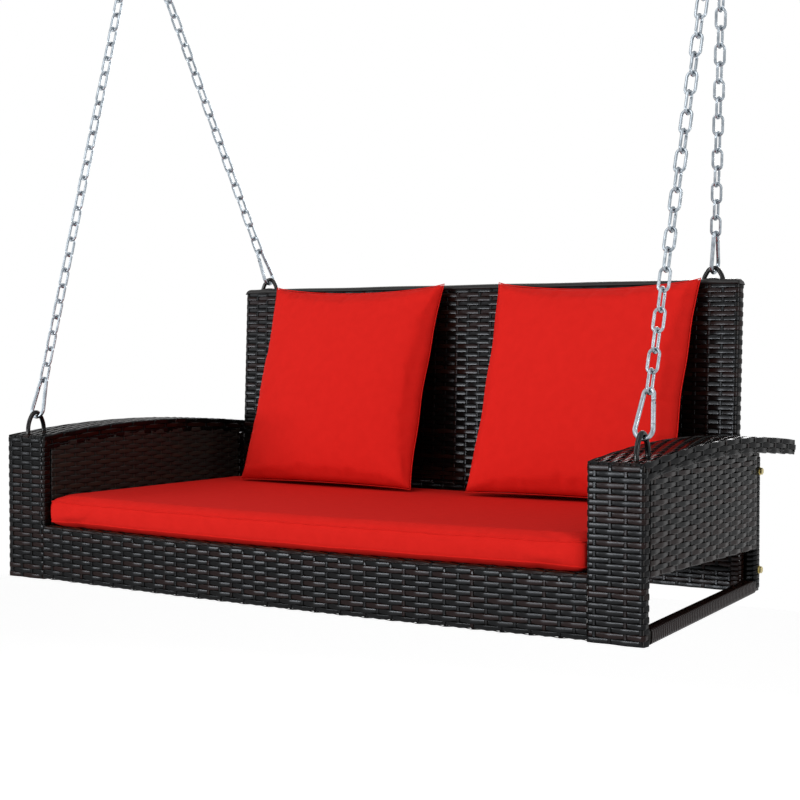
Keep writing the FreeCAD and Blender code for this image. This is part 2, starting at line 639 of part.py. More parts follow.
def backrest_weave(name):
    body = doc.addObject("PartDesign::Body", name + "_board")
    corners, arcs = rounded("-" + INNER, "0", INNER, "back_board", "back_round")
    pad(body, name + "_block", outline(body, name + "_plan", "XY_Plane", "0", corners, arcs), SPINE_TOP)
    inside = rectangle("-%s + skin" % INNER, "skin", INNER + " - skin", "back_board - skin")
    pocket(body, name + "_hollow", outline(body, name + "_inside", "XY_Plane", "0", inside), SPINE_TOP, True)
    holes = []
    for side_name, side in SIDES:
        places = [on_board(y, z) for y, z in REAR_BOLTS]
        holes.append(bolt_holes(name + "_side_holes_" + side_name, side, INNER + " - skin", "skin", places))
    up = on_board(REAR_RAIL + " + tube", BACK_BOLT_UP)[1]
    holes += [cylinder("%s_seat_hole_%d" % (name, i), ("%d * %s" % (s, BACK_BOLT_OUT), "-1", up), "y",
                       "bolt / 2 + lean_play", "skin + 2") for i, (_, s) in enumerate(SIDES)]
    return leaned(cut(name, body, fuse(name + "_holes", holes)), name)


V = FreeCAD.Vector


def wire_along(edges, radius):
    """Round wire swept along joined edges."""
    path = Part.Wire(edges)
    start = edges[0].valueAt(edges[0].FirstParameter)
    toward = edges[0].tangentAt(edges[0].FirstParameter)
    section = Part.Wire([Part.makeCircle(radius, start, toward)])
    return path.makePipeShell([section], True, False)


def feature(name, shape):
    thing = doc.addObject("Part::Feature", name)
    thing.Shape = shape
    return thing


def mirrored(vector):
    return V(-vector.x, vector.y, vector.z)


def loop_shape(foot, top, radius):
    """Arch of rod in the XZ plane: a tight crown, flanks that draw out, and upright legs down to the foot."""
    rod = size("rod")
    half = (size("loop_width") - rod) / 2
    crown, turn = size("loop_crown") - rod / 2, radians(size("loop_turn"))
    flank = (half - crown * sin(turn)) / (1 - sin(turn))
    crown_up = top - size("loop_crown")
    centre = V(half - flank, 0, crown_up - (flank - crown) * cos(turn))
    low = max(foot, centre.z)
    stop = acos((low - centre.z) / flank)

    def on_flank(angle):
        return centre + V(flank * sin(angle), 0, flank * cos(angle))

    first, middle, last = on_flank(turn), on_flank((turn + stop) / 2), on_flank(stop)
    edges = [Part.Arc(mirrored(last), mirrored(middle), mirrored(first)).toShape(),
             Part.Arc(mirrored(first), V(0, 0, crown_up + crown), first).toShape(),
             Part.Arc(first, middle, last).toShape()]
    if foot < low:
        edges.insert(0, Part.LineSegment(V(-half, 0, foot), mirrored(last)).toShape())
        edges.append(Part.LineSegment(last, V(half, 0, foot)).toShape())
    return wire_along(edges, radius)


def backrest_binding(name):
    """Smooth band along the top edge, its upper face an arc, pierced by the legs of the loops."""
    body = doc.addObject("PartDesign::Body", name + "_band")
    side_top = "(back_height - binding_round + sqrt(binding_round^2 - (back_board / 2)^2))"
    corners = [("0", SPINE_TOP), ("back_board", SPINE_TOP), ("back_board", side_top), ("0", side_top)]
    face = outline(body, name + "_end", "YZ_Plane", "-" + INNER, corners, {2: ("binding_round", -1)})
    pad(body, name + "_length", face, "2 * " + INNER)
    legs = []
    for side_name, side in SIDES:
        room = loop_shape(worked(SPINE_TOP) - 1, worked(REAR_LOOP_TOP), size("rod") / 2 + size("rod_play"))
        legs.append(feature("%s_hole_%s" % (name, side_name), room))
        place(legs[-1], ("%d * %s" % (side, REAR_LOOP_OUT), "back_board / 2", "0"))
    return leaned(cut(name, body, fuse(name + "_holes", legs)), name)


backrest_frame("backrest_frame")
backrest_weave("backrest_weave")
backrest_binding("backrest_binding")

# Rod loops, snap hooks and chains: wires swept along lines and tangent arcs


def front_loop(name, side):
    foot = worked(arch("front_loop_back", "plate_drop"))
    loop = feature(name, loop_shape(foot, size("front_loop_top"), size("rod") / 2))
    loop.Placement = FreeCAD.Placement(V(), FreeCAD.Rotation(V(0, 0, 1), 90))
    return node(loop, name, ("%d * %s" % (side, FRONT_LOOP_OUT), "front_loop_back", "0"))


def rear_loop(name, side):
    foot = worked(SPINE_TOP) + size("touch")
    loop = feature(name, loop_shape(foot, worked(REAR_LOOP_TOP), size("rod") / 2))
    return leaned(loop, name, "%d * %s" % (side, REAR_LOOP_OUT), "back_board / 2")


def hook_points():
    """Centre line of a snap hook in its own plane: two bows joined by tangent sides, as named points."""
    wire = size("hook_wire")
    wide, narrow = (size("hook_wide") - wire) / 2, (size("hook_narrow") - wire) / 2
    span = size("hook_length") - wire - wide - narrow
    tilt = asin((wide - narrow) / span)
    out, along = V(cos(tilt), 0, sin(tilt)), V(-sin(tilt), 0, cos(tilt))
    low, high = V(0, 0, wide), V(0, 0, wide + span)
    side_length = sqrt(span ** 2 - (wide - narrow) ** 2)
    foot = low + out * wide
    neck = side_length - size("neck_length")
    return {"low": low, "high": high, "wide": wide, "narrow": narrow, "along": along, "foot": foot,
            "nose": foot + along * size("nose_height"), "neck": foot + along * neck,
            "pin": foot + along * (neck - size("pin_drop")), "head": high + out * narrow}


def hook_body_shape():
    """Bent wire with a flat tongue for the gate at the end of its narrow bow."""
    p = hook_points()
    radius = size("hook_wire") / 2
    edges = [Part.LineSegment(p["nose"], p["foot"]).toShape(),
             Part.Arc(p["foot"], p["low"] + V(0, 0, -p["wide"]), mirrored(p["foot"])).toShape(),
             Part.LineSegment(mirrored(p["foot"]), mirrored(p["head"])).toShape(),
             Part.Arc(mirrored(p["head"]), p["high"] + V(0, 0, p["narrow"]), p["head"]).toShape(),
             Part.LineSegment(p["head"], p["neck"]).toShape()]
    body = wire_along(edges, radius)
    thick, across = size("tongue"), size("tongue_wide")
    reach = (p["neck"] - p["pin"]).Length + 1
    tongue = Part.makeBox(across, thick, reach, V(-across / 2, -thick / 2, 0))
    eye = Part.makeCylinder(across / 2, thick, V(0, -thick / 2, 0), V(0, 1, 0))
    pin_hole = Part.makeCylinder(size("pin_wide") / 2, thick + 2, V(0, -thick / 2 - 1, 0), V(0, 1, 0))
    end = tongue.fuse(eye)
    for shape in (end, pin_hole):
        shape.Placement = FreeCAD.Placement(p["pin"], FreeCAD.Rotation(V(0, 0, 1), p["along"]))
    return body.fuse(end).cut(pin_hole).removeSplitter()


def gate_shape():
    """Rod with a forked, round end at the pin and a square end at the nose."""
    p = hook_points()
    radius = size("hook_wire") / 2
    reach = (p["pin"] - p["nose"]).Length - size("gate_gap")
    rod = Part.makeCylinder(radius, reach, V(0, 0, -reach))
    ball = Part.makeSphere(radius)
    slot_half = size("tongue") / 2 + size("tongue_play")
    depth = size("tongue_wide") / 2 + size("slot_play")
    slot = Part.makeBox(4 * radius, 2 * slot_half, radius + depth + 1, V(-2 * radius, -slot_half, -depth))
    hole = Part.makeCylinder(size("pin_wide") / 2 + size("pin_play"), 4 * radius, V(0, -2 * radius, 0),
                             V(0, 1, 0))
    gate = rod.fuse(ball).cut(slot).cut(hole)
    gate.Placement = FreeCAD.Placement(p["pin"], FreeCAD.Rotation(V(0, 0, 1), p["along"]))
    return gate.removeSplitter()


def pin_shape():
    p = hook_points()
    length = size("pin_length")
    pin = Part.makeCylinder(size("pin_wide") / 2, length, V(0, -length / 2, 0), V(0, 1, 0))
    pin.Placement = FreeCAD.Placement(p["pin"], FreeCAD.Rotation(V(0, 0, 1), p["along"]))
    return pin


def turned(across, up):
    """Rotation that lays a hook's own X towards across and its own Z along up."""
    up = V(up).normalize()
    third = up.cross(across).normalize()
    across = third.cross(up).normalize()
    matrix = FreeCAD.Matrix(across.x, third.x, up.x, 0, across.y, third.y, up.y, 0,
                            across.z, third.z, up.z, 0, 0, 0, 0, 1)
    return FreeCAD.Placement(matrix).Rotation


def seat_point(x, y, z):
    """A point given from the seat's own corner, in the frame of the swing axis."""
    return V(x, y - size("axis_back"), z - size("axis_height"))


def loop_crowns(side):
    """Centre of the crown and the loop's own axis, for the front and rear loops of a side."""
    front = seat_point(side * worked(FRONT_LOOP_OUT), size("front_loop_back"),
                       size("front_loop_top") - size("loop_crown"))
    lean = radians(size("back_lean"))
    depth, height = size("back_board") / 2, worked(REAR_LOOP_TOP) - size("loop_crown")
    rear_back = size("back_foot") + depth * cos(lean) + height * sin(lean)
    rear = seat_point(side * worked(REAR_LOOP_OUT), rear_back, height * cos(lean) - depth * sin(lean))
    return {"front": (front, V(side, 0, 0)), "rear": (rear, V(0, cos(lean), -sin(lean)))}


def pull_point(crown, axis, target):
    """Middle of the crown's rod where a hook bears on it: on the side that the chain pulls towards."""
    pull = target - crown
    pull -= axis * pull.dot(axis)
    return crown + pull.normalize() * (size("loop_crown") - size("rod") / 2)


def link_shape(length):
    """Straight link in the XZ plane: centre line length between the middles of its end wires."""
    half = (size("link_width") - size("link_wire")) / 2
    shoulder = length / 2 - half
    upper, lower = V(half, 0, shoulder), V(half, 0, -shoulder)
    edges = [Part.LineSegment(lower, upper).toShape(),
             Part.Arc(upper, V(0, 0, shoulder + half), mirrored(upper)).toShape(),
             Part.LineSegment(mirrored(upper), mirrored(lower)).toShape(),
             Part.Arc(mirrored(lower), V(0, 0, -shoulder - half), lower).toShape()]
    return wire_along(edges, size("link_wire") / 2)


def chain_shape(low, high, first_normal, odd):
    """Links from the hook below to the bow above, every other one turned a quarter."""
    wire, touch = size("link_wire"), size("touch")
    bite = size("hook_wire") / 2 + wire / 2 + touch
    line = high - low
    total = line.Length + 2 * bite + size("link_lift")
    spare = wire + touch
    pairs = (total - spare) / size("link_pitch") / 2
    count = 2 * round(pairs - 0.5) + 1 if odd else 2 * round(pairs)
    step = (total - spare) / count
    up = V(line).normalize()
    link = link_shape(step + spare)
    second_normal = up.cross(first_normal).normalize()
    links = []
    for i in range(count):
        normal = first_normal if i % 2 == 0 else second_normal
        across = normal.cross(up).normalize()
        copy = link.copy()
        middle = low + up * (-bite + (step + spare) / 2 + i * step)
        copy.Placement = FreeCAD.Placement(middle, turned(across, up))
        links.append(copy)
    return Part.makeCompound(links), count, step


def rig(side_name, side):
    """Loops, snap hooks, gates, pins and chains of one side."""
    front_loop("front_loop_" + side_name, side)
    rear_loop("rear_loop_" + side_name, side)
    crowns = loop_crowns(side)
    pins = []
    grip = (size("rod") + size("hook_wire")) / 2 + size("touch") + size("loop_lift")
    rise = size("hook_length") - size("hook_wire")
    axis_out = worked(AXIS_OUT)
    for end, across, odd, shift in (("front", V(side, 0, 0), True, 1), ("rear", V(0, side, 0), False, -1)):
        high = V(side * (axis_out + shift * size("link_apart")), 0, 0)
        crown, axis = crowns[end]
        bearing = pull_point(crown, axis, high)
        up = (high - bearing).normalize()
        seat = FreeCAD.Placement(bearing - up * grip, turned(across, up))
        hook_at(end + "_hook", side_name, seat, pins)
        first_normal = seat.Rotation.multVec(V(1, 0, 0))
        shape, count, step = chain_shape(seat.multVec(V(0, 0, rise)), high, first_normal, odd)
        chain = feature("%s_chain_%s" % (end, side_name), shape)
        chain.Label = chain.Name
        NODES.append(chain)
        print(chain.Label, "links", count, "pitch", round(step, 2))
    top_seat = FreeCAD.Placement(V(side * axis_out, 0, 0), turned(V(side, 0, 0), V(0, 0, 1)))
    top_pins = []
    hook_at("top_hook", side_name, top_seat, top_pins)
    return pins, top_pins


def hook_at(kind, side_name, seat, pins):
    for label, shape in ((kind, hook_body_shape()), (kind + "_gate", gate_shape())):
        piece = feature("%s_%s" % (label, side_name), shape)
        piece.Placement = seat.multiply(piece.Placement)
        piece.Label = piece.Name
        NODES.append(piece)
    pin = pin_shape()
    pin.Placement = seat.multiply(pin.Placement)
    pins.append(pin)
    points = hook_points()
    axis = seat.Rotation.multVec(V(0, 1, 0))
    print("gate", kind, side_name, [round(c, 3) for c in seat.multVec(points["pin"])],
          [round(c, 5) for c in axis])


lower_pins, upper_pins = [], []
for side_name, side in SIDES:
    lower, upper = rig(side_name, side)
    lower_pins += lower
    upper_pins += upper
for label, pins in (("lower_hook_pins", lower_pins), ("top_hook_pins", upper_pins)):
    group_of_pins = feature(label, Part.makeCompound(pins))
    group_of_pins.Label = label
    NODES.append(group_of_pins)

# Fasteners


def on_both(label, make):
    pieces = []
    for side_name, side in SIDES:
        pieces += make(side_name, side)
    return node(group(label, pieces), label)


def along_x(label, side_name, side, near, length, places, maker):
    """One piece per place, from X near outwards."""
    start = outboard(side, near, length)
    return [maker("%s_%s_%d" % (label, side_name, i), (start, y, z), length)
            for i, (y, z) in enumerate(places)]


def bored(name, blank, corner, length, play):
    """A piece round a bolt, with the bolt's clearance hole through it."""
    start = (corner[0] + " - 1",) + corner[1:]
    hole = cylinder(name + "_hole", start, "x", "bolt / 2 + " + play, length + " + 2")
    return cut(name, blank, hole)


def washer_at(name, corner, length):
    disc = cylinder(name + "_disc", corner, "x", "washer_wide / 2", length)
    return bored(name, disc, corner, length, "bolt_play")


def spacer_at(name, corner, length):
    disc = cylinder(name + "_disc", corner, "x", "spacer_wide / 2", length)
    return bored(name, disc, corner, length, "bolt_play")


def nut_at(name, corner, length):
    flats = hexagon(name + "_flats", corner, "x", "head_flat", length)
    return bored(name, flats, corner, length, "thread_play")


def shank_at(name, corner, length):
    return cylinder(name, corner, "x", "bolt / 2", length)


def head_at(name, corner, length):
    return hexagon(name, corner, "x", "head_flat", length)


def joined(name, heads, shanks):
    pairs = enumerate(zip(heads, shanks))
    return [fuse("%s_%d" % (name, i), [head, shank]) for i, (head, shank) in pairs]


POST_IN = "(%s - skin - tube)" % INNER
SPACER = "(%s - %s - %s)" % (POST_OUT, WOUND, INNER)


def rear_bolts(side_name, side):
    inner_end = "(%s - nut_high - bolt_proud)" % POST_IN
    heads = along_x("rear_bolt_head", side_name, side, POST_OUT + " + washer", "head_high",
                    REAR_BOLTS, head_at)
    shanks = along_x("rear_bolt_shank", side_name, side, inner_end,
                     "%s + washer - %s" % (POST_OUT, inner_end), REAR_BOLTS, shank_at)
    return joined("rear_bolt_" + side_name, heads, shanks)


on_both("rear_bolts", rear_bolts)
on_both("rear_washers", lambda n, s: along_x("rear_washer", n, s, POST_OUT, "washer", REAR_BOLTS, washer_at))
on_both("rear_spacers", lambda n, s: along_x("rear_spacer", n, s, INNER, SPACER, REAR_BOLTS, spacer_at))
on_both("rear_nuts", lambda n, s: along_x("rear_nut", n, s, "(%s - nut_high)" % POST_IN, "nut_high",
                                          REAR_BOLTS, nut_at))

SEAT_IN = "(%s - tube)" % INNER
ARM_RAIL_OUT = "(%s + skin + tube)" % INNER


def seat_bolts(side_name, side):
    heads = along_x("seat_bolt_head", side_name, side, SEAT_IN + " - head_high", "head_high",
                    SEAT_BOLTS, head_at)
    shanks = along_x("seat_bolt_shank", side_name, side, SEAT_IN,
                     "%s + nut_high + bolt_proud - %s" % (ARM_RAIL_OUT, SEAT_IN), SEAT_BOLTS, shank_at)
    return joined("seat_bolt_" + side_name, heads, shanks)


on_both("seat_bolts", seat_bolts)
on_both("seat_nuts", lambda n, s: along_x("seat_nut", n, s, ARM_RAIL_OUT, "nut_high", SEAT_BOLTS,
                                          nut_at))


def back_bolt(side_name, side):
    """Bolt from the seat's rear rail into the backrest."""
    x = "%d * %s" % (side, BACK_BOLT_OUT)
    head = hexagon("back_bolt_head_" + side_name, (x, REAR_RAIL + " - head_high", BACK_BOLT_UP), "y",
                   "head_flat", "head_high")
    shank = cylinder("back_bolt_shank_" + side_name, (x, REAR_RAIL, BACK_BOLT_UP), "y", "bolt / 2",
                     "tube + skin + 2 * tube / 3")
    return [fuse("back_bolt_" + side_name, [head, shank])]


on_both("back_bolts", back_bolt)

# Cushions: lofts through sections of arcs


def arc_edge(a, middle, b):
    return Part.Arc(a, middle, b).toShape()


def cushion_section(y, half, low, high, sag, crown, bulge):
    """Closed section across the seat cushion: sagging base, swelling sides, crowned top."""
    corners = [V(-half, y, low), V(half, y, low), V(half, y, high), V(-half, y, high)]
    middle = (low + high) / 2
    return Part.Wire([arc_edge(corners[0], V(0, y, low - sag), corners[1]),
                      arc_edge(corners[1], V(half + bulge, y, middle), corners[2]),
                      arc_edge(corners[2], V(0, y, high + crown), corners[3]),
                      arc_edge(corners[3], V(-half - bulge, y, middle), corners[0])])


# Sections of the seat cushion: how far back as a share of its depth, how far its outline is drawn in
# at the round edges, and its share of the crown
CUSHION_SECTIONS = ((0, 2.5, 0.2), (0.006, 0.7, 0.3), (0.016, 0, 0.4), (0.12, 0, 0.75), (0.3, 0, 0.95),
                    (0.5, 0, 1), (0.7, 0, 0.95), (0.88, 0, 0.75), (0.984, 0, 0.4), (0.994, 0.7, 0.3),
                    (1, 2.5, 0.2))


def seat_cushion(name):
    half = worked(INNER) - size("cushion_play") - size("cushion_bulge")
    low = size("deck_top") + size("rest_gap")
    high = low + size("cushion_edge")
    sag = size("apron_sag") * (half / worked(INNER)) ** 2
    front, depth, crown = size("cushion_front"), size("cushion_depth"), size("cushion_crown")
    bulge = size("cushion_bulge")
    sections = [cushion_section(front + share * depth, half - drawn, low + drawn, high - drawn, sag - drawn,
                                crown * rise, bulge) for share, drawn, rise in CUSHION_SECTIONS]
    return node(feature(name, Part.makeLoft(sections, True, True)), name)


PILLOW_STEPS = 14      # spaces between a pillow's sections, finer towards its sides
PILLOW_FULLNESS = 0.6  # exponent of the swell from the sides to the middle


def pillow(name, middle):
    """Square pillow: every section across it is a lens, and its ears stand out at the corners."""
    whole, waist = size("pillow"), size("pillow_waist")
    sections = []
    for step in range(PILLOW_STEPS + 1):
        share = sin(pi * (step / PILLOW_STEPS - 0.5))
        full = (1 - share ** 2) ** PILLOW_FULLNESS if 0 < step < PILLOW_STEPS else 0
        x = share * whole / 2
        draw = waist * (1 - share ** 2)
        thick = size("pillow_edge") + (size("pillow_thick") - size("pillow_edge")) * full
        foot, head = V(x, 0, draw), V(x, 0, whole - draw)
        sections.append(Part.Wire([arc_edge(foot, V(x, thick / 2, whole / 2), head),
                                   arc_edge(head, V(x, -thick / 2, whole / 2), foot)]))
    solid = feature(name, Part.makeLoft(sections, True, True))
    solid.Placement = FreeCAD.Placement(V(), FreeCAD.Rotation(V(-1, 0, 0), size("pillow_lean")))
    lift = "deck_top + cushion_edge + cushion_crown + 2 * rest_gap"
    return node(solid, name, (middle, "pillow_foot", lift))


seat_cushion("seat_cushion")
pillow("pillow_left", "pillow_left_share * %s" % INNER)
pillow("pillow_right", "pillow_right_share * %s" % INNER)

# Checks and export

doc.recompute()
failed = [thing.Name for thing in doc.Objects if {"Invalid", "Error"} & set(thing.State)]
broken = [thing.Label for thing in NODES if thing.Shape.isNull() or not thing.Shape.isValid()]
if failed or broken:
    raise SystemExit("failed: %s, broken: %s" % (failed, broken))
os.makedirs("parts", exist_ok=True)
for thing in NODES:
    solids = thing.Shape.Solids
    print(thing.Label, len(solids), "solids", round(sum(solid.Volume for solid in solids) / 1000, 1), "cm3")
    thing.Shape.exportStep("parts/%s.step" % thing.Label)
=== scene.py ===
# %% [markdown]
# # A hanging porch swing in woven strip
# The seat is a welded steel frame with plastic strip woven over it, hung from two pairs of chains. Its shapes come
# packed from CAD as a fixed frame. This notebook dresses that frame: every woven panel is laid strip by strip with
# numpy, the cushions are filled by cloth simulation, and each finish is built from nodes.

# %% Load the frame
import math

import bmesh
import bpy
import numpy as np
from mathutils.bvhtree import BVHTree
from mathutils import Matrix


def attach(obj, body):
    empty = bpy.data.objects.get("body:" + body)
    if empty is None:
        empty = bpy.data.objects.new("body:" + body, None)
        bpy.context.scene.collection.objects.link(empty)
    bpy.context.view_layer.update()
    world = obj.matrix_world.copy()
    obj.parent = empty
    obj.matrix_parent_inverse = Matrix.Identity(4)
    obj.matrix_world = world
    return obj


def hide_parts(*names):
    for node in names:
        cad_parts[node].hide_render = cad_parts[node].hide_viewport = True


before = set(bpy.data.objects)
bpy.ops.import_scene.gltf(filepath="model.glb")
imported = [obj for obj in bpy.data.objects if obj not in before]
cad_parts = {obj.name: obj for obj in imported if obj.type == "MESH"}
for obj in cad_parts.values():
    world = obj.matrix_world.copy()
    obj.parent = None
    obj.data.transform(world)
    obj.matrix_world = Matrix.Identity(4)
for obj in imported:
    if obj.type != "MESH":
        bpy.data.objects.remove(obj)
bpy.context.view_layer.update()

# %% [markdown]
# ## Camera
# A photograph of furniture is taken from a few metres with a long lens, so that the far end doesn't shrink much.
# The place, turn and lens below were solved from the corners of the arms and the backrest. The camera sits a little
# above the armrests and looks down by two degrees.

# %% Camera
CAMERA_AT = (1.571, -2.368, -0.838)
CAMERA_DOWN, CAMERA_LEFT = 2.09, 33.45
LENS = 71.8

camera = bpy.data.objects.new("camera", bpy.data.cameras.new("camera"))
camera.location = CAMERA_AT
camera.rotation_euler = (math.radians(90 - CAMERA_DOWN), 0, math.radians(CAMERA_LEFT))
camera.data.lens = LENS
camera.data.sensor_width = 36
bpy.context.scene.collection.objects.link(camera)
bpy.context.scene.camera = camera

# %% [markdown]
# ## Coordinates
# The frame's origin is the middle of the swing's axis, high over the seat. Woodworkers and weavers measure from the
# seat itself, so the pieces below are worked out in millimetres from the middle of the seat's bottom front edge and
# moved to the frame's metres at the very end. Each arm has a name and a sign, the side of X on which it stands.

# %% Seat millimetres to frame metres
AXIS_BACK, AXIS_HEIGHT = 332.0, 1266.0
ARMS = (("left", -1), ("right", 1))
MM = 0.001


def to_frame(points):
    """Seat millimetres to frame metres: take away the axis's place, then divide by a thousand."""
    return (np.asarray(points, float) - (0, AXIS_BACK, AXIS_HEIGHT)) * MM


# %% [markdown]
# ## Colours and nodes
# Colours are written as sRGB hex, the way a paint or screen shows them, while shaders work with linear light. One
# function turns one into the other, and others add a node, a material, a colour ramp or a bump.

# %% Colour and node helpers
def colour(text):
    """sRGB hex to linear RGBA: a share c above 0.04045 becomes ((c + 0.055) / 1.055) to the power 2.4."""
    share = np.array([int(text[i:i + 2], 16) / 255 for i in (0, 2, 4)])
    linear = np.where(share <= 0.04045, share / 12.92, ((share + 0.055) / 1.055) ** 2.4)
    return (*[float(c) for c in linear], 1.0)


def add(tree, kind, inputs=None, **settings):
    """Adds a node, sets its properties, and gives each named input a value or a link from another node's output."""
    made = tree.nodes.new(kind)
    for name, value in settings.items():
        setattr(made, name, value)
    for name, value in (inputs or {}).items():
        if isinstance(value, bpy.types.NodeSocket):
            tree.links.new(value, made.inputs[name])
        else:
            made.inputs[name].default_value = value
    return made


def new_material(name, inputs=None):
    """A material with a Principled shader set to the inputs; returns the material, its tree and the shader."""
    material = bpy.data.materials.new(name)
    material.use_nodes = True
    tree = material.node_tree
    tree.nodes.clear()
    shader = add(tree, "ShaderNodeBsdfPrincipled", inputs)
    add(tree, "ShaderNodeOutputMaterial", {"Surface": shader.outputs[0]})
    return material, tree, shader


def ramp(tree, factor, *stops):
    """A colour ramp through stops given as (position, colour)."""
    made = add(tree, "ShaderNodeValToRGB", {0: factor})
    elements = made.color_ramp.elements
    while len(elements) < len(stops):
        elements.new(1.0)
    for element, (position, value) in zip(elements, stops):
        element.position, element.color = position, value
    return made.outputs[0]


def bumped(tree, shader, height, strength, distance):
    """Tilts the shader's normal as a height from 0 to distance metres would, at the given strength."""
    bump = add(tree, "ShaderNodeBump", {"Height": height, "Strength": strength, "Distance": distance})
    tree.links.new(bump.outputs[0], shader.inputs["Normal"])


# %% [markdown]
# ## The woven strip
# Garden weave is extruded polyethylene strip, nearly nine millimetres wide and one thick. It is dyed in the mass, so
# wear doesn't show, but each coil of strip differs: most are brown-black, some a warmer brown. The extruder leaves
# fine lengthwise lines. Each strip carries a random number, and the colour and streaks hang on it.
#
# The strip is almost black, so its gloss is what shows the weave. With plastic's own index of refraction of 1.5, all
# faces seen at a flat angle would mirror the white studio. A low index keeps those dark, and a specular tint above
# one gives back the gloss of faces seen square on: ((1.08 - 1) / (1.08 + 1)) squared, times 7.8, is 1.2%.

# %% Woven polyethylene strip
STRIP_GLOSS = {"Roughness": 0.2, "IOR": 1.08, "Specular IOR Level": 0.5, "Specular Tint": (7.4, 7.8, 8.4, 1)}
STREAKS_PER_METRE, RIBS_PER_METRE = (14, 900, 1), (6, 620, 1)


def polyethylene_strip(name, dark, warm, warm_share):
    """Extruded polyethylene: glossy, ribs 1.6 mm apart, dark or in the given share warm, strand by strand."""
    material, tree, shader = new_material(name, STRIP_GLOSS)
    strand = add(tree, "ShaderNodeAttribute", attribute_name="strand").outputs["Fac"]
    run = add(tree, "ShaderNodeUVMap", uv_map="strip").outputs[0]
    stretched = add(tree, "ShaderNodeMapping", {"Vector": run, "Scale": STREAKS_PER_METRE})
    streak = add(tree, "ShaderNodeTexNoise", {"Vector": stretched.outputs[0], "W": strand, "Scale": 1.0, "Detail": 3},
                 noise_dimensions="4D").outputs["Fac"]
    mixed = add(tree, "ShaderNodeMath", {0: streak, 1: 0.35}, operation="MULTIPLY").outputs[0]
    place = add(tree, "ShaderNodeMath", {0: mixed, 1: strand}, operation="ADD").outputs[0]
    edge = 1.18 - warm_share
    tint = ramp(tree, place, (edge - 0.12, colour(dark)), (edge, colour(warm)))
    tree.links.new(tint, shader.inputs["Base Color"])
    lines = add(tree, "ShaderNodeMapping", {"Vector": run, "Scale": RIBS_PER_METRE})
    rib = add(tree, "ShaderNodeTexNoise", {"Vector": lines.outputs[0], "Scale": 1.0, "Detail": 1}).outputs["Fac"]
    bumped(tree, shader, rib, 0.35, 0.0002)
    return material


weave_strip = polyethylene_strip("extruded polyethylene strip, brown-black", "0a0908", "1c0e0a", 0.2)
# The inner panels get a copy of the strip made much lighter: painted light, standing in for the light their faces
# catch.
inner_strip_painted_light = polyethylene_strip("extruded polyethylene strip, lightened as painted light", "272522", "2c2722", 0.3)
seat_strip = polyethylene_strip("extruded polyethylene strip, chestnut", "1c0d08", "4a2212", 0.6)

# %% [markdown]
# ## Plain weave
# In plain weave a long strip, the weft, goes over one spoke and under the next, and the strip beside it does the
# opposite. So the height of a strip over the panel is a rounded triangle wave whose half wave is one bay between
# spokes, and its sign alternates from row to row. The wave's middle lies so deep under the CAD skin that its crests,
# with half a strip's thickness, stand 0.6 mm proud of it.
#
# A panel is described by a function surface(u, v, h): u millimetres along the strips, v across them and h out from
# the skin. Because every point of a strip goes through that function, the same few lines weave a flat panel, a round
# corner or an arched armrest.

# %% Sections and waves of a strip
STRIP_WIDE, SPOKE_WIDE, THICK = 8.9, 5.6, 1.1
WAVE, SHARP, DENT = 1.2, 0.96, 0.3
SKIN = 0.6 - WAVE - THICK / 2
APART = 0.002


def section(wide, thick=THICK):
    """Ring of a strip as (across, up): its upper quarter, from a flat back to a crown three fifths as wide."""
    return np.array([(-0.5 * wide, 0.25 * thick), (0.5 * wide, 0.25 * thick),
                     (0.3 * wide, 0.5 * thick), (-0.3 * wide, 0.5 * thick)])


def over_under(turn):
    """Rounded triangle wave, +1 at even whole numbers, -1 at odd: arcsin(k cos(pi turn)) / arcsin(k), k = SHARP."""
    return np.arcsin(SHARP * np.cos(np.pi * turn)) / np.arcsin(SHARP)


def numbered(spokes):
    """The places of the spokes with two more bays at each end, and the number of each."""
    ahead, behind = spokes[1] - spokes[0], spokes[-1] - spokes[-2]
    marks = np.concatenate([spokes[0] - ahead * np.array([2, 1]), spokes, spokes[-1] + behind * np.array([1, 2])])
    return marks, np.arange(-2, len(spokes) + 2)


def wefts(surface, rows, spokes, start=None, stop=None, per_bay=4, extra=()):
    """Strips along u, one per row: height = wave * over_under(bay number + row number).

    Samples stand on the spokes and between them, and on a loop also at the extra places. Without start and stop a
    strip is a loop, and the last spoke is the first one again. Samples that start or stop presses together stay
    APART. The result is (strip, sample, ring), put through surface."""
    rows = np.asarray(rows, float)[:, None]
    marks, numbers = numbered(spokes)
    loop = start is None
    if loop:
        u = np.interp(np.arange((len(spokes) - 1) * per_bay) / per_bay, numbers, marks)
        u = np.unique(np.concatenate([u, np.asarray(extra, float)]))[None, :] + 0 * rows
    else:
        start, stop = (np.broadcast_to(end, len(rows))[:, None] for end in (start, stop))
        first, last = start.min(), stop.max()
        u = np.interp(np.arange(-2 * per_bay, (len(spokes) + 1) * per_bay + 1) / per_bay, numbers, marks)
        u = np.concatenate([[first], u[(u > first + 0.5) & (u < last - 0.5)], [last]])
        u = np.clip(u, start, stop) + APART * np.arange(len(u))
    height = SKIN + WAVE * over_under(np.interp(u, marks, numbers) + np.arange(len(rows))[:, None])
    across, up = section(STRIP_WIDE).T
    return surface(u[..., None] + 0 * across, rows[..., None] + across, height[..., None] + up), loop


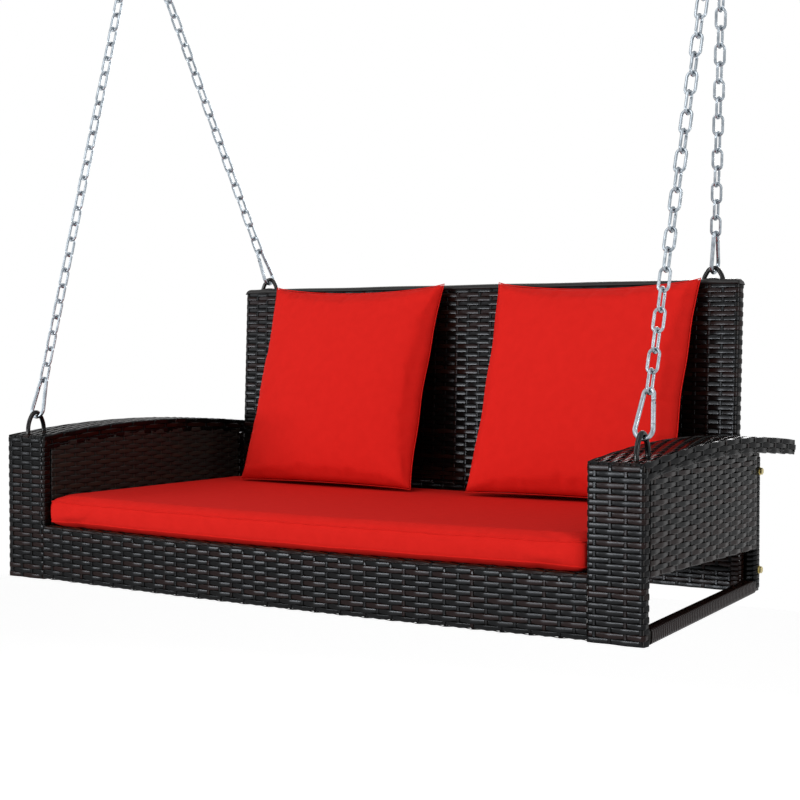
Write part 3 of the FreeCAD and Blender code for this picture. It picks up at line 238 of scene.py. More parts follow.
def spokes_of(surface, spokes, rows, low, high, limit=None):
    """Stiffer strips along v, one per spoke: pushed in by DENT under a strip and out by it beside one.

    With a limit for each spoke, it ends there instead of at high."""
    marks = np.concatenate([[low], np.asarray(rows, float), [high]])[None, :]
    order = np.arange(-1, marks.shape[1] - 1)
    number = np.arange(len(spokes))[:, None]
    height = SKIN - DENT * np.cos(np.pi * (number + order))
    if limit is not None:
        marks = np.minimum(marks, np.asarray(limit)[:, None]) + APART * order
    marks = marks + 0.0 * number
    across, up = section(SPOKE_WIDE)[::-1].T
    return surface(np.asarray(spokes)[:, None, None] + across, marks[..., None] + 0 * across,
                   height[..., None] + up), False


# %% [markdown]
# A grid of points becomes a mesh by naming the four corners of each face. All strips of a panel are one mesh. The
# last ring joins the first on a strip that goes right round, and any other strip is closed by a face at each end. A
# UV map gives the length along the strip and the place across it, and an attribute holds the strip's number.

# %% Grids to meshes
RING_STEP = 0.004


def quads_of(numbers):
    """The faces between the rows and columns of a grid of point numbers."""
    return np.stack([numbers[:-1, :-1], numbers[1:, :-1], numbers[1:, 1:], numbers[:-1, 1:]], -1).reshape(-1, 4)


def tube_numbers(samples, ring, loop):
    """Point numbers of a tube as a grid, with its first column again at the end, and its first row if a loop."""
    return np.pad(np.arange(samples * ring).reshape(samples, ring), ((0, int(loop)), (0, 1)), mode="wrap")


def new_mesh(name, points, faces):
    mesh = bpy.data.meshes.new(name)
    mesh.from_pydata(points.reshape(-1, 3), [], faces)
    return mesh


def strip_faces(strips, samples, ring, loop):
    """Corner numbers of all faces of a grid of strips, their UV places as (sample, ring step), and their strips."""
    numbers = tube_numbers(samples, ring, loop)
    place = quads_of(np.arange(numbers.size).reshape(numbers.shape))
    place = np.stack(np.divmod(place, numbers.shape[1]), -1)
    one = quads_of(numbers)
    firsts = np.arange(strips) * samples * ring
    faces = (firsts[:, None, None] + one).reshape(-1, 4)
    places = np.tile(place, (strips, 1, 1))
    owner = np.repeat(np.arange(strips), len(one))
    if not loop:
        front = firsts[:, None] + np.arange(ring)
        faces = np.concatenate([faces, front, front[:, ::-1] + (samples - 1) * ring])
        places = np.concatenate([places, np.zeros((2 * strips, 4, 2), int)])
        owner = np.concatenate([owner, np.arange(strips), np.arange(strips)])
    return faces, places, owner


def outward(points, faces):
    """True when the faces enclose a positive volume, the sum of p0 . (p1 x p2) over their triangles."""
    a, b, c, d = (points[faces[:, n]] for n in range(4))
    return np.einsum("ij,ij->", a, np.cross(b, c)) + np.einsum("ij,ij->", a, np.cross(c, d)) > 0


def settle(name, mesh, body, material, nodes=()):
    """Puts a finished mesh in the scene on its body, with its material and the CAD nodes that it stands for."""
    piece = bpy.data.objects.new(name, mesh)
    bpy.context.scene.collection.objects.link(piece)
    mesh.materials.append(material)
    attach(piece, body)
    if nodes:
        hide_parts(*nodes)
    print(name, "faces", len(mesh.polygons))
    return piece


def strips_object(name, grids, material, seed, nodes=()):
    """One object from several grids of strips, shaded smooth, riding on the seat and standing for CAD nodes."""
    rng = np.random.default_rng(seed)
    all_points, all_faces, all_uv, all_strand = [], [], [], []
    count = 0
    for grid, loop in grids:
        strips, samples, ring, _ = grid.shape
        points = to_frame(grid).reshape(-1, 3)
        faces, places, owner = strip_faces(strips, samples, ring, loop)
        if not outward(points - points.mean(0), faces):
            faces, places = faces[:, ::-1], places[:, ::-1]
        middle = to_frame(grid).mean(2)
        step = np.linalg.norm(np.diff(middle, axis=1, append=middle[:, :1]), axis=2)
        length = np.concatenate([np.zeros((strips, 1)), np.cumsum(step, 1)], 1)
        along, across = length[owner[:, None], places[..., 0]], places[..., 1] * RING_STEP
        all_uv.append(np.stack([along, across], -1).reshape(-1, 2))
        all_points.append(points)
        all_faces.append(faces + count)
        all_strand.append(np.repeat(rng.random(strips), samples * ring))
        count += len(points)
    mesh = new_mesh(name, np.concatenate(all_points), np.concatenate(all_faces))
    mesh.shade_smooth()
    mesh.uv_layers.new(name="strip").data.foreach_set("uv", np.concatenate(all_uv).astype(np.float32).ravel())
    mesh.attributes.new("strand", "FLOAT", "POINT").data.foreach_set("value", np.concatenate(all_strand))
    return settle(name, mesh, "seat", material, nodes)


# %% [markdown]
# Seen from high above, a weave this fine would show daylight between its rows, where real strip is pressed tight and
# backed by its own ends, turned over on the inside. A thin dark sheet 3.4 mm under each panel's face stands for them,
# in a colour darker and duller than the strip's: painted shade.

# %% Backs of the strips
BACKS_LEVEL, BACKS_THICK = -3.4, 0.5
# The backs' near-black colour and low gloss are painted shade.
backs, _, _ = new_material("extruded polyethylene strip, backs in shade",
                           {"Base Color": colour("060505"), "Roughness": 0.7, "Specular IOR Level": 0.1})


def underlay(name, surface, u, low, high, rows=24):
    """A sheet under a panel: each column runs from low to high at its u, put through the panel's surface."""
    u = np.asarray(u, float)[:, None]
    low, high = (np.broadcast_to(edge, len(u))[:, None] for edge in (low, high))
    v = low + (high - low) * np.linspace(0, 1, rows)
    points = to_frame(surface(u + 0 * v, v, BACKS_LEVEL + 0 * v))
    sheet = settle(name, new_mesh(name, points, quads_of(np.arange(v.size).reshape(v.shape))), "seat", backs)
    thick = sheet.modifiers.new("thickness", "SOLIDIFY")
    thick.thickness, thick.offset = BACKS_THICK * MM, 0.0


# %% [markdown]
# ## Paths
# The strips follow rounded outlines: right round a front leg, a tube or the backrest, up the apron and over the rail,
# or over an armrest's edge. Such an outline is a table of lengths, points and outward normals, put together from arcs
# and the points between them, and read by interpolation, so any strip can ask for its place.

# %% Tables of paths
def arc(x, y, radius, begin, stop, steps):
    """Points of an arc from one angle to another in degrees, as rows of x, y and outward normal."""
    angle = np.radians(np.linspace(begin, stop, steps))
    return np.stack([x + radius * np.cos(angle), y + radius * np.sin(angle), np.cos(angle), np.sin(angle)], -1)


def path_of(*parts):
    """The table of a path from the rows of its parts: length along it, x, y and outward normal."""
    xs, ys, nx, ny = np.concatenate([np.asarray(part, float) for part in parts]).T
    return np.concatenate([[0], np.cumsum(np.hypot(np.diff(xs), np.diff(ys)))]), xs, ys, nx, ny


def board_path(wide, deep, radius, steps=8):
    """Rounded rectangle from the middle of its back: to the left, forward, along the front, and back by the right."""
    x, y = wide / 2 - radius, deep / 2 - radius
    start = [(0, deep / 2, 0, 1)]
    return path_of(start, arc(-x, y, radius, 90, 180, steps), arc(-x, -y, radius, 180, 270, steps),
                   arc(x, -y, radius, 270, 360, steps), arc(x, y, radius, 0, 90, steps), start)


def read_path(path, s, h):
    """Point at length s round a closed path, moved out by h along the normal there."""
    length, xs, ys, nx, ny = path
    s = np.mod(s, length[-1])
    normal_x, normal_y = np.interp(s, length, nx), np.interp(s, length, ny)
    size = np.hypot(normal_x, normal_y)
    return np.interp(s, length, xs) + h * normal_x / size, np.interp(s, length, ys) + h * normal_y / size


def round_board(path, spokes):
    """Spokes at these x on front and back, in order round a board's path, the loop they make, and corner samples."""
    length, xs, ys, _, _ = path
    front = int(np.argmax(np.abs(ys - ys.min()) < 1e-6))
    around = np.sort(np.concatenate([length[front] + (spokes - xs[front]), np.mod(-spokes, length[-1])]))
    corners = length[1:-1].reshape(4, -1)[:, [0, 2, 5, 7]].ravel()
    corners = np.where(corners < around[0], corners + length[-1], corners)
    return around, np.concatenate([around, around[:1] + length[-1]]), corners


# %% [markdown]
# ## Front legs
# Each front leg is a flat box, 92 by 20 mm, woven over two uprights. Four spokes stand on its front and four on its
# back, and thirty-one strips go round it. Its top row tucks under the armrest. The right leg's spokes stand a little
# off its middle.

# %% Front legs
WIDTH, ARM_WIDE = 1270.0, 92.0
INNER = WIDTH / 2 - ARM_WIDE
LEG_DEEP, LEG_TOP, LEG_ROUND = 20.0, 256.0, 5.0
ROW = 8.19
LEG_SPOKES, RIGHT_SHIFT = np.array([-36.6, -12.2, 12.2, 36.6]), 3.5


def front_leg(side_name, side):
    """Strips round the leg: surface(u, v, h) is the board path at length u, height v, moved out by h."""
    path = board_path(ARM_WIDE, LEG_DEEP, LEG_ROUND)

    def surface(u, v, h):
        x, y = read_path(path, u, h)
        return np.stack([x + side * (WIDTH - ARM_WIDE) / 2, y + LEG_DEEP / 2, v + 0 * x], -1)

    rows = np.arange(ROW / 2, LEG_TOP - ROW / 2 + 0.1, ROW)
    around, seen, corners = round_board(path, LEG_SPOKES + RIGHT_SHIFT * (side > 0))
    grids = [wefts(surface, rows, seen, per_bay=6, extra=corners),
             spokes_of(surface, around, rows, 0.5, LEG_TOP - 0.5)]
    strips_object("front_leg_strips_" + side_name, grids, weave_strip, 11 + side, ["leg_weave_" + side_name])


for arm in ARMS:
    front_leg(*arm)

# %% [markdown]
# ## Apron and seat
# The spokes of the seat run up the apron, over the front rail and back to the foot of the backrest, so apron and seat
# are one surface that turns a corner. The rails bow down a little between the arms, and so do all the rows.

# %% Apron and seat
SAG, DECK_TOP, BACK_FOOT = 4.5, 97.0, 557.5
BOW = (INNER ** 2 + SAG ** 2) / (2 * SAG)
EDGE, UNDER, TUCK = 5.0, 18.0, 2.5
ACROSS = (-INNER - TUCK, INNER + TUCK)
APRON = path_of([(EDGE + UNDER, 0, 0, -1)], arc(EDGE, EDGE, EDGE, 270, 180, 8),
                arc(EDGE, DECK_TOP - EDGE, EDGE, 180, 90, 8), [(BACK_FOOT, DECK_TOP, 0, 1)])


def bow_drop(x):
    """How far the bowed rails lie below their ends at x: sqrt(bow^2 - x^2) - bow + sag."""
    return np.sqrt(BOW ** 2 - np.clip(x, -INNER, INNER) ** 2) - BOW + SAG


def apron_surface(u, v, h):
    """u across the seat from its middle, v along the section from under the rail, bowed down with the rails."""
    length, *columns = APRON
    y, z, ny, nz = (np.interp(v, length, column) for column in columns)
    y, z = y + h * ny, z + h * nz
    return np.stack([u + 0 * y, y, z - bow_drop(u)], -1)


SEAT_SPOKES = np.arange(-22, 22) * 24.4 + 12.2
apron_end, deck_end = UNDER + EDGE * np.pi + DECK_TOP - 2 * EDGE, APRON[0][-1]
apron_rows = np.arange(2.0, apron_end + 2, ROW)
deck_rows = np.arange(apron_rows[-1] + ROW, deck_end - 2, ROW)
strips_object("apron_strips", [wefts(apron_surface, apron_rows, SEAT_SPOKES, *ACROSS),
                               spokes_of(apron_surface, SEAT_SPOKES, apron_rows, 0, apron_end + 4)],
              weave_strip, 21, ["apron_weave"])
strips_object("seat_strips", [wefts(apron_surface, deck_rows, SEAT_SPOKES, *ACROSS, per_bay=3),
                              spokes_of(apron_surface, SEAT_SPOKES, deck_rows, apron_end + 5, deck_end - 1)],
              seat_strip, 22, ["seat_deck_weave"])
underlay("seat_underlay", apron_surface, np.linspace(-INNER, INNER, 60), 2.0, deck_end - 3, rows=80)

# %% [markdown]
# ## Armrests
# An armrest is a board bent to a long arc. Its strips run lengthwise and its spokes go round it. The strips on its
# top turn over the front edge of the leg and round the rear end, and come back along the underside: a hairpin, told
# in lengths along the arc and depths under it. Each side of the board has three rows of its own.

# %% Armrests
ARCH, CREST, ARCH_MID, BOARD, ARM_BACK = 2717.0, 276.0, 316.0, 25.0, 610.0
ARM_ROUND, FRONT_DROP = 6.0, 14.0
ARM_START, ARM_STOP = (ARCH * np.arcsin((y - ARCH_MID) / ARCH) for y in (1.5, ARM_BACK))
ARM_SPOKES = np.arange(ARM_START + 22, ARM_STOP - 8, 30.6)
TOP_ROWS, FLANK_ROWS = np.linspace(-42.2, 42.2, 11), np.array([4.5, 12.5, 20.5])


def arch_at(s, depth):
    """Y and Z at length s along the armrest's arc from its crest, and depth under its top."""
    return ARCH_MID + (ARCH - depth) * np.sin(s / ARCH), CREST - ARCH + (ARCH - depth) * np.cos(s / ARCH)


def hairpin():
    """Path of a top strip in s and depth: up over the front edge, back, round the rear end, and forward again."""
    r, start, stop = ARM_ROUND, ARM_START, ARM_STOP
    run = np.linspace(start + r, stop - r, 40)[1:-1]
    over = np.stack([run, 0 * run, 0 * run, 0 * run - 1], -1)
    under = np.stack([run[::-1], 0 * run + BOARD, 0 * run, 0 * run + 1], -1)
    return path_of([(start, FRONT_DROP, -1, 0)], arc(start + r, r, r, 180, 270, 7), over,
                   arc(stop - r, r, r, 270, 360, 7), arc(stop - r, BOARD - r, r, 0, 90, 7), under,
                   [(start + 30, BOARD, 0, 1)])


def armrest(side_name, side):
    """Top, end and underside of an armrest as one surface, and each of its sides as another."""
    length, *columns = hairpin()
    centre, half = side * (WIDTH - ARM_WIDE) / 2, ARM_WIDE / 2
    flat = half - ARM_ROUND

    def over(u, v, h):
        """u along the hairpin, v across from the middle; past the flat part it rounds down by a circle."""
        edge = np.clip((np.abs(v) - flat) / ARM_ROUND, 0, 1)
        angle = edge * np.pi / 2
        x = np.sign(v) * np.where(edge > 0, flat + (ARM_ROUND + h) * np.sin(angle), np.abs(v))
        sink = np.where(edge > 0, ARM_ROUND - (ARM_ROUND + h) * np.cos(angle), -h)
        s, depth, ns, nd = (np.interp(u, length, column) for column in columns)
        y, z = arch_at(s - sink * ns, depth - sink * nd)
        return np.stack([centre + x + 0 * y, y, z], -1)

    def flank(out):
        def surface(u, v, h):
            """u along the arc, v down from the top: a flat side."""
            y, z = arch_at(u, v)
            return np.stack([centre + out * (half + h) + 0 * y, y, z], -1)
        return surface

    s, depth = columns[:2]
    top, under = depth < 1, depth > BOARD - 1
    there = np.interp(ARM_SPOKES, s[top], length[top])
    back = np.interp(ARM_SPOKES[::-1], s[under][::-1], length[under][::-1])
    turn = (there[-1] + back[0]) / 2
    spokes = np.concatenate([there, [turn - 9, turn + 9], back])
    grids = [wefts(over, TOP_ROWS, spokes, 0.0, length[-1], per_bay=5), spokes_of(over, spokes, TOP_ROWS, -45.6, 45.6)]
    for out in (-1, 1):
        grids.append(wefts(flank(out), FLANK_ROWS, ARM_SPOKES, ARM_START + 1, ARM_STOP - 2, per_bay=5))
        grids.append(spokes_of(flank(out), ARM_SPOKES, FLANK_ROWS, 1.0, BOARD - 1.0))
    strips_object("armrest_strips_" + side_name, grids, weave_strip, 31 + side, ["armrest_weave_" + side_name])


for arm in ARMS:
    armrest(*arm)

# %% [markdown]
# ## Side panels
# The outer panel slants in towards the rear leg, and its lower edge falls a little on the way back, so its rows
# spread like a fan. The inner panel is level. Both are cut by the arc of the armrest: each row stops and each spoke
# ends 4 to 5 mm inside the armrest, so that no slit stays open.

# %% Side panels
SPLAY, POST_BACK, WOUND = 51.0, 579.5, 22.0
SLANT = math.atan2(SPLAY, POST_BACK - LEG_DEEP)
PANEL_LONG = (POST_BACK - WOUND - LEG_DEEP) / math.cos(SLANT)
OUTER_LOW, OUTER_FALL, FAN = 97.0, 21.0, 0.04
OUTER_ROWS, OUTER_SPOKES = np.arange(3.8, 175, 7.65), (np.arange(16) + 0.5) * PANEL_LONG / 16
INNER_LOW, INNER_LONG = 78.0, BACK_FOOT - LEG_DEEP - 0.5
INNER_ROWS, INNER_SPOKES = np.arange(INNER_LOW + 4, 260, 8.1), (np.arange(21) + 0.4) * 25.9
ROW_INSIDE, SPOKE_INSIDE = 5.0, 4.0


def underside(y):
    """Height of the armrest's underside at y."""
    return CREST - ARCH + np.sqrt((ARCH - BOARD) ** 2 - (y - ARCH_MID) ** 2)


def clipped(rows, height_at, long, y_at, samples=400):
    """Start and stop of each row, where its middle is less than ROW_INSIDE above the armrest's underside."""
    u = np.linspace(0, long, samples)
    clear = height_at(u[None, :], rows[:, None]) < underside(y_at(u))[None, :] + ROW_INSIDE
    keep = clear.any(1)
    start = u[np.argmax(clear, 1)]
    stop = u[samples - 1 - np.argmax(clear[:, ::-1], 1)]
    return rows[keep], start[keep], stop[keep]


def slanted(side):
    """Unit vectors in X and Y: back along an arm's slanted side, and out from it."""
    return np.array([-side * math.sin(SLANT), math.cos(SLANT)]), np.array([side * math.cos(SLANT), math.sin(SLANT)])


def outer_panel(side_name, side):
    """u along the slant from the leg, v up from the lower edge; rows spread by FAN on the way back."""
    ahead, out = slanted(side)

    def lower_edge(u):
        return OUTER_LOW - OUTER_FALL * u / PANEL_LONG

    def height_at(u, v):
        return lower_edge(u) + v * (1 + FAN * u / PANEL_LONG)

    def y_at(u):
        return LEG_DEEP + ahead[1] * u

    def surface(u, v, h):
        x = side * WIDTH / 2 + ahead[0] * u + out[0] * h
        return np.stack([x + 0 * v, y_at(u) + out[1] * h + 0 * v, height_at(u, v) + 0 * h], -1)

    rows, start, stop = clipped(OUTER_ROWS, height_at, PANEL_LONG, y_at)
    reach = underside(y_at(OUTER_SPOKES)) + SPOKE_INSIDE - lower_edge(OUTER_SPOKES)
    reach /= 1 + FAN * OUTER_SPOKES / PANEL_LONG
    long_spokes = spokes_of(surface, OUTER_SPOKES, rows, 0.5, 176, limit=reach)
    underlay("outer_underlay_" + side_name, surface, OUTER_SPOKES, 1.0, reach - 8)
    strips_object("outer_panel_strips_" + side_name,
                  [wefts(surface, rows, OUTER_SPOKES, start, stop, per_bay=5), long_spokes],
                  weave_strip, 41 + side, ["outer_weave_" + side_name])


def inner_panel(side_name, side):
    """u back from the leg, v up: a level plane that faces the seat."""
    def y_at(u):
        return LEG_DEEP + u

    def surface(u, v, h):
        return np.stack([side * (INNER - h) + 0 * u + 0 * v, y_at(u) + 0 * h, v + 0 * h], -1)

    rows, start, stop = clipped(INNER_ROWS, lambda u, v: v + 0 * u, INNER_LONG, y_at)
    long_spokes = spokes_of(surface, INNER_SPOKES, rows, INNER_LOW + 0.5, 262,
                            limit=underside(y_at(INNER_SPOKES)) + SPOKE_INSIDE)
    ends = np.concatenate([[-5.0], INNER_SPOKES, [INNER_LONG]])
    underlay("inner_underlay_" + side_name, surface, ends, INNER_LOW + 1, underside(y_at(ends)) + 2)
    strips_object("inner_panel_strips_" + side_name,
                  [wefts(surface, rows, INNER_SPOKES, start, stop), long_spokes],
                  inner_strip_painted_light, 51 + side, ["inner_weave_" + side_name])


for arm in ARMS:
    outer_panel(*arm)
    inner_panel(*arm)

# %% [markdown]
# ## Backrest
# The backrest is a board 25 mm thick that leans back by about two degrees. Sixty-five strips go right round it, past
# forty-five spokes on each face. A smooth band is bent over its top edge, and rides up a little where the two
# hanging loops come through it.

# %% Backrest
LEAN = math.radians(2.35)
BACK_HIGH, BACK_BOARD, BINDING = 538.0, 25.0, 8.0
WOVEN_HIGH = BACK_HIGH - BINDING
BACK_PATH = board_path(2 * INNER, BACK_BOARD, 6.0)
BACK_SPOKES = np.linspace(-536.8, 536.8, 45)
BACK_ROWS = np.linspace(4.1, WOVEN_HIGH - 4.1, 65)


def leaned(x, depth, height):
    """A point of the upright board, leaned back about its foot."""
    return np.stack([x, BACK_FOOT + depth * math.cos(LEAN) + height * math.sin(LEAN),
                     height * math.cos(LEAN) - depth * math.sin(LEAN)], -1)


def back_surface(u, v, h):
    """The board path at length u, height v, moved out by h, then leaned."""
    x, y = read_path(BACK_PATH, u, h)
    return leaned(x, y + BACK_BOARD / 2, v + 0 * x)


around, seen, corners = round_board(BACK_PATH, BACK_SPOKES)
strips_object("backrest_strips", [wefts(back_surface, BACK_ROWS, seen, extra=corners)], weave_strip, 61,
              ["backrest_weave"])
strips_object("backrest_spokes", [spokes_of(back_surface, around, BACK_ROWS, 0.5, WOVEN_HIGH - 0.5)], weave_strip, 62)
underlay("backrest_underlay", back_surface, np.linspace(0, BACK_PATH[0][-1], 180), 1.0, WOVEN_HIGH - 1, rows=30)


# %% Tubes and bands
END_ROUND = 7.0
LOOP_AT, HUMP, HUMP_LONG = 490.0, 2.5, 16.0
BAND_THICK = 1.5


def tube_mesh(name, grid, loop):
    """Mesh of a tube from its rings as (ring number, place in ring, xyz) in metres, closed at its ends unless loop."""
    count, ring, _ = grid.shape
    ends = [] if loop else [list(range(ring)), list(range((count - 1) * ring, count * ring))]
    mesh = new_mesh(name, grid, quads_of(tube_numbers(count, ring, loop)).tolist() + ends)
    bm = bmesh.new()
    bm.from_mesh(mesh)
    bmesh.ops.recalc_face_normals(bm, faces=bm.faces)
    bm.to_mesh(mesh)
    bm.free()
    mesh.shade_smooth()
    return mesh


def binding_band():
    """Rings of the band along the top edge: x along it, and round it a rounded arch over the board.

    Its top falls by a circle of END_ROUND at both ends, and rises by a bell of HUMP over each hanging loop."""
    corner = INNER - END_ROUND * (1 - np.cos(np.linspace(0.12, np.pi / 2, 8)))
    x = np.concatenate([-corner, np.linspace(-INNER + 10, INNER - 10, 260), corner[::-1]])[:, None]
    beyond = np.maximum(np.abs(x) - (INNER - END_ROUND), 0)
    top = np.sqrt(np.maximum(END_ROUND ** 2 - beyond ** 2, 0)) - END_ROUND
    top = top + HUMP * np.exp(-((np.abs(x) - LOOP_AT) / HUMP_LONG) ** 2) + 0.35 * np.sin(x / 37.0)
    turn = np.linspace(0, np.pi, 13)[None, :]
    foot = WOVEN_HIGH - BAND_THICK
    depth = np.concatenate([-np.cos(turn) * (BACK_BOARD / 2 + 1.0), [[9.0, -9.0]]], 1) + 0 * x
    height = np.concatenate([foot + np.sin(turn) ** 0.5 * (BINDING + BAND_THICK), [[foot, foot]]], 1)
    height = height + top * (height > WOVEN_HIGH)
    return to_frame(leaned(x + 0 * depth, depth + BACK_BOARD / 2, height))


# %% [markdown]
# ## Wound rails
# The bottom rail and the rear leg of each arm are square tubes with strip wound tightly round them, edge to edge.
# One strip makes the whole winding: with each turn it moves on by its own width. A third winding stands between the
# rear leg and the backrest, where the photograph shows a dark upright; what it covers is a guess.

# %% Wound rails
WINDING, WINDING_THICK, PITCH = 8.0, 1.3, 8.3
REAR_LEG_HIGH = 236.5
POST_AT, POST_SIZE, POST_HIGH = (553.0, 560.0), (18.6, 32.0), 240.0


def winding(path, place, start, stop):
    """One helix: at turn t, round the path by t lengths and along it by t pitches; place puts it in the seat."""
    turns = (stop - start) / PITCH - 1
    t = np.linspace(0, turns, int(turns * 20) + 1)[None, :, None]
    across, up = section(WINDING, WINDING_THICK).T
    x, y = read_path(path, t * path[0][-1] + 0 * across, up - WINDING_THICK / 2)
    return place(x, y, start + PITCH / 2 + t * PITCH + across + 0 * x), False


def wound_rails(side_name, side):
    """The windings of one arm: its rail runs along the slant, its leg and the post stand upright."""
    path = board_path(WOUND, WOUND, 4.0)
    ahead, out = slanted(side)

    def rail(x, y, along):
        inward = x - WOUND / 2
        return np.stack([side * WIDTH / 2 + out[0] * inward + ahead[0] * along,
                         LEG_DEEP + out[1] * inward + ahead[1] * along, y + WOUND / 2], -1)

    def leg(x, y, along):
        return np.stack([side * (WIDTH / 2 - SPLAY - WOUND / 2) + x, POST_BACK - WOUND / 2 + y, along], -1)

    def post(x, y, along):
        return np.stack([side * POST_AT[0] + x, POST_AT[1] + y, along], -1)

    strips_object("rear_post_strips_" + side_name, [winding(board_path(*POST_SIZE, 3.0), post, 0, POST_HIGH)],
                  weave_strip, 81 + side)
    strips_object("wound_rails_" + side_name,
                  [winding(path, rail, 0.8, PANEL_LONG - 0.5), winding(path, leg, 0, REAR_LEG_HIGH)],
                  weave_strip, 71 + side, ["wound_strip_" + side_name])


for arm in ARMS:
    wound_rails(*arm)

# %% [markdown]
# ## Finishes of the metal parts
# The frame inside is steel tube with black powder coat, fine and slightly orange-peeled. The loops are glossier. The
# chain and snap hooks are bright zinc plate, which is a little blue and clouds in patches. The bolts are yellow zinc.

# %% Powder coat, gloss black, zinc and moulded plastic
def object_noise(tree, per_metre):
    """Noise with so many blotches to the metre, fixed to the object."""
    place = add(tree, "ShaderNodeTexCoord").outputs["Object"]
    return add(tree, "ShaderNodeTexNoise", {"Vector": place, "Scale": per_metre, "Detail": 2.0}).outputs["Fac"]


def coated(name, hue, roughness, peel):
    """A black coat or plastic of even gloss, with orange peel about 3 mm across."""
    material, tree, shader = new_material(name, {"Roughness": roughness, "Specular IOR Level": 0.25})
    grain = object_noise(tree, 330)
    tint = ramp(tree, grain, (0.3, colour(hue)), (0.7, tuple(c * 1.25 for c in colour(hue)[:3]) + (1,)))
    tree.links.new(tint, shader.inputs["Base Color"])
    bumped(tree, shader, grain, peel, 0.0002)
    return material


def zinc_plate(name, bright, dull, low, high):
    """Electroplated zinc: clouded softly in patches of a centimetre, with faint scratches."""
    material, tree, shader = new_material(name, {"Metallic": 1.0})
    cloud = object_noise(tree, 90)
    tint = ramp(tree, cloud, (0.3, colour(dull)), (0.7, colour(bright)))
    tree.links.new(tint, shader.inputs["Base Color"])
    rough = add(tree, "ShaderNodeMapRange", {"Value": cloud, "To Min": high, "To Max": low})
    tree.links.new(rough.outputs[0], shader.inputs["Roughness"])
    bumped(tree, shader, object_noise(tree, 700), 0.08, 0.0001)
    return material


frame_steel = coated("powder-coated steel, black", "151210", 0.5, 0.4)
loop_steel = coated("powder-coated steel, gloss black", "08080a", 0.18, 0.15)
bright_zinc = zinc_plate("zinc plate, bright", "a9b1b8", "7f878e", 0.22, 0.34)
yellow_zinc = zinc_plate("zinc plate, yellow", "d9cf9c", "b3a36c", 0.3, 0.42)
spacer_plastic = coated("moulded polyamide, black", "0b0b0d", 0.3, 0.1)
binding_strip = coated("extruded polyethylene band, black", "0d0b0b", 0.45, 0.2)

HOOKS = ("front_hook", "rear_hook", "top_hook")
FINISHES = {
    "seat_frame apron_frame backrest_frame arm_frame_left arm_frame_right": frame_steel,
    "front_loop_left front_loop_right rear_loop_left rear_loop_right": loop_steel,
    " ".join(["lower_hook_pins top_hook_pins"] + [kind + "_" + side_name for side_name, _ in ARMS for kind in (
        *HOOKS, *(hook + "_gate" for hook in HOOKS), "front_chain", "rear_chain")]): bright_zinc,
    "rear_bolts rear_washers rear_nuts seat_bolts seat_nuts back_bolts": yellow_zinc,
    "rear_spacers": spacer_plastic,
}
for nodes, finish in FINISHES.items():
    for node in nodes.split():
        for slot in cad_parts[node].material_slots:
            slot.material = finish

settle("backrest_band", tube_mesh("backrest_band", binding_band(), False), "seat", binding_strip,
       ["backrest_binding"])

# %% [markdown]
# ## Cushion cloth
# The covers are plain-woven polyester in one red. Its threads are far finer than a pixel, so what shows is a soft
# even surface with a faint slub. The weave is drawn at 1.2 mm to be seen at all.

# %% Red polyester cloth
def polyester(name, red, shade):
    """Plain-woven polyester: matt, one colour with faint slubs, threads drawn 1.2 mm apart."""
    material, tree, shader = new_material(name, {"Roughness": 0.95, "Specular IOR Level": 0.08})
    place = add(tree, "ShaderNodeTexCoord").outputs["Object"]
    slub = add(tree, "ShaderNodeTexNoise", {"Vector": place, "Scale": 60.0, "Detail": 4.0}).outputs["Fac"]
    tint = ramp(tree, slub, (0.3, colour(shade)), (0.7, colour(red)))
    tree.links.new(tint, shader.inputs["Base Color"])
    thread = add(tree, "ShaderNodeTexVoronoi", {"Vector": place, "Scale": 830.0}).outputs["Distance"]
    bumped(tree, shader, thread, 0.25, 0.0003)
    return material


red_cloth = polyester("plain-woven polyester, red", "d2211b", "cd1f19")

# %% [markdown]
# ## Filling the cushions
# Each cushion starts as a nearly full closed shape. The seat cushion's is remeshed to even faces, and Blender's cloth
# blows both kinds up from inside as the filling does. A point may move only so far, which keeps the cushion its size.
# Then the result is applied, and one subdivision smooths it.

# %% Cloth filling
def evaluated(piece):
    """The mesh of an object with its modifiers applied."""
    graph = bpy.context.evaluated_depsgraph_get()
    return bpy.data.meshes.new_from_object(piece.evaluated_get(graph))


def points_of(mesh):
    """Where a mesh's points are, as an array."""
    values = np.empty(len(mesh.vertices) * 3)
    mesh.vertices.foreach_get("co", values)
    return values.reshape(-1, 3)


def set_points(mesh, points):
    """Moves a mesh's points there."""
    mesh.vertices.foreach_set("co", np.asarray(points, np.float32).ravel())
    mesh.update()


def fill_cloth(mesh, voxel, pressure, frames, cap):
    """Remesh if a voxel size is given, blow up by cloth for some frames, cap each point's move in metres."""
    piece = bpy.data.objects.new("filling", mesh)
    bpy.context.scene.collection.objects.link(piece)
    if voxel:
        remesh = piece.modifiers.new("even", "REMESH")
        remesh.mode, remesh.voxel_size = "VOXEL", voxel
        piece.data = evaluated(piece)
        piece.modifiers.clear()
    before = points_of(piece.data)
    cloth = piece.modifiers.new("cloth", "CLOTH").settings
    cloth.use_pressure = True
    cloth.uniform_pressure_force = pressure
    cloth.effector_weights.gravity = 0.0
    cloth.tension_stiffness = cloth.compression_stiffness = 15.0
    cloth.quality = 5
    scene = bpy.context.scene
    for step in range(1, frames + 1):
        scene.frame_set(step)
    filled = evaluated(piece)
    move = points_of(filled) - before
    far = np.linalg.norm(move, axis=1, keepdims=True)
    set_points(filled, before + move * np.minimum(1, cap / np.maximum(far, 1e-9)))
    bpy.data.objects.remove(piece)
    scene.frame_set(1)
    print("filled", len(before), "points, moved up to", round(float(far.max()) * 1000, 1), "mm")
    return filled


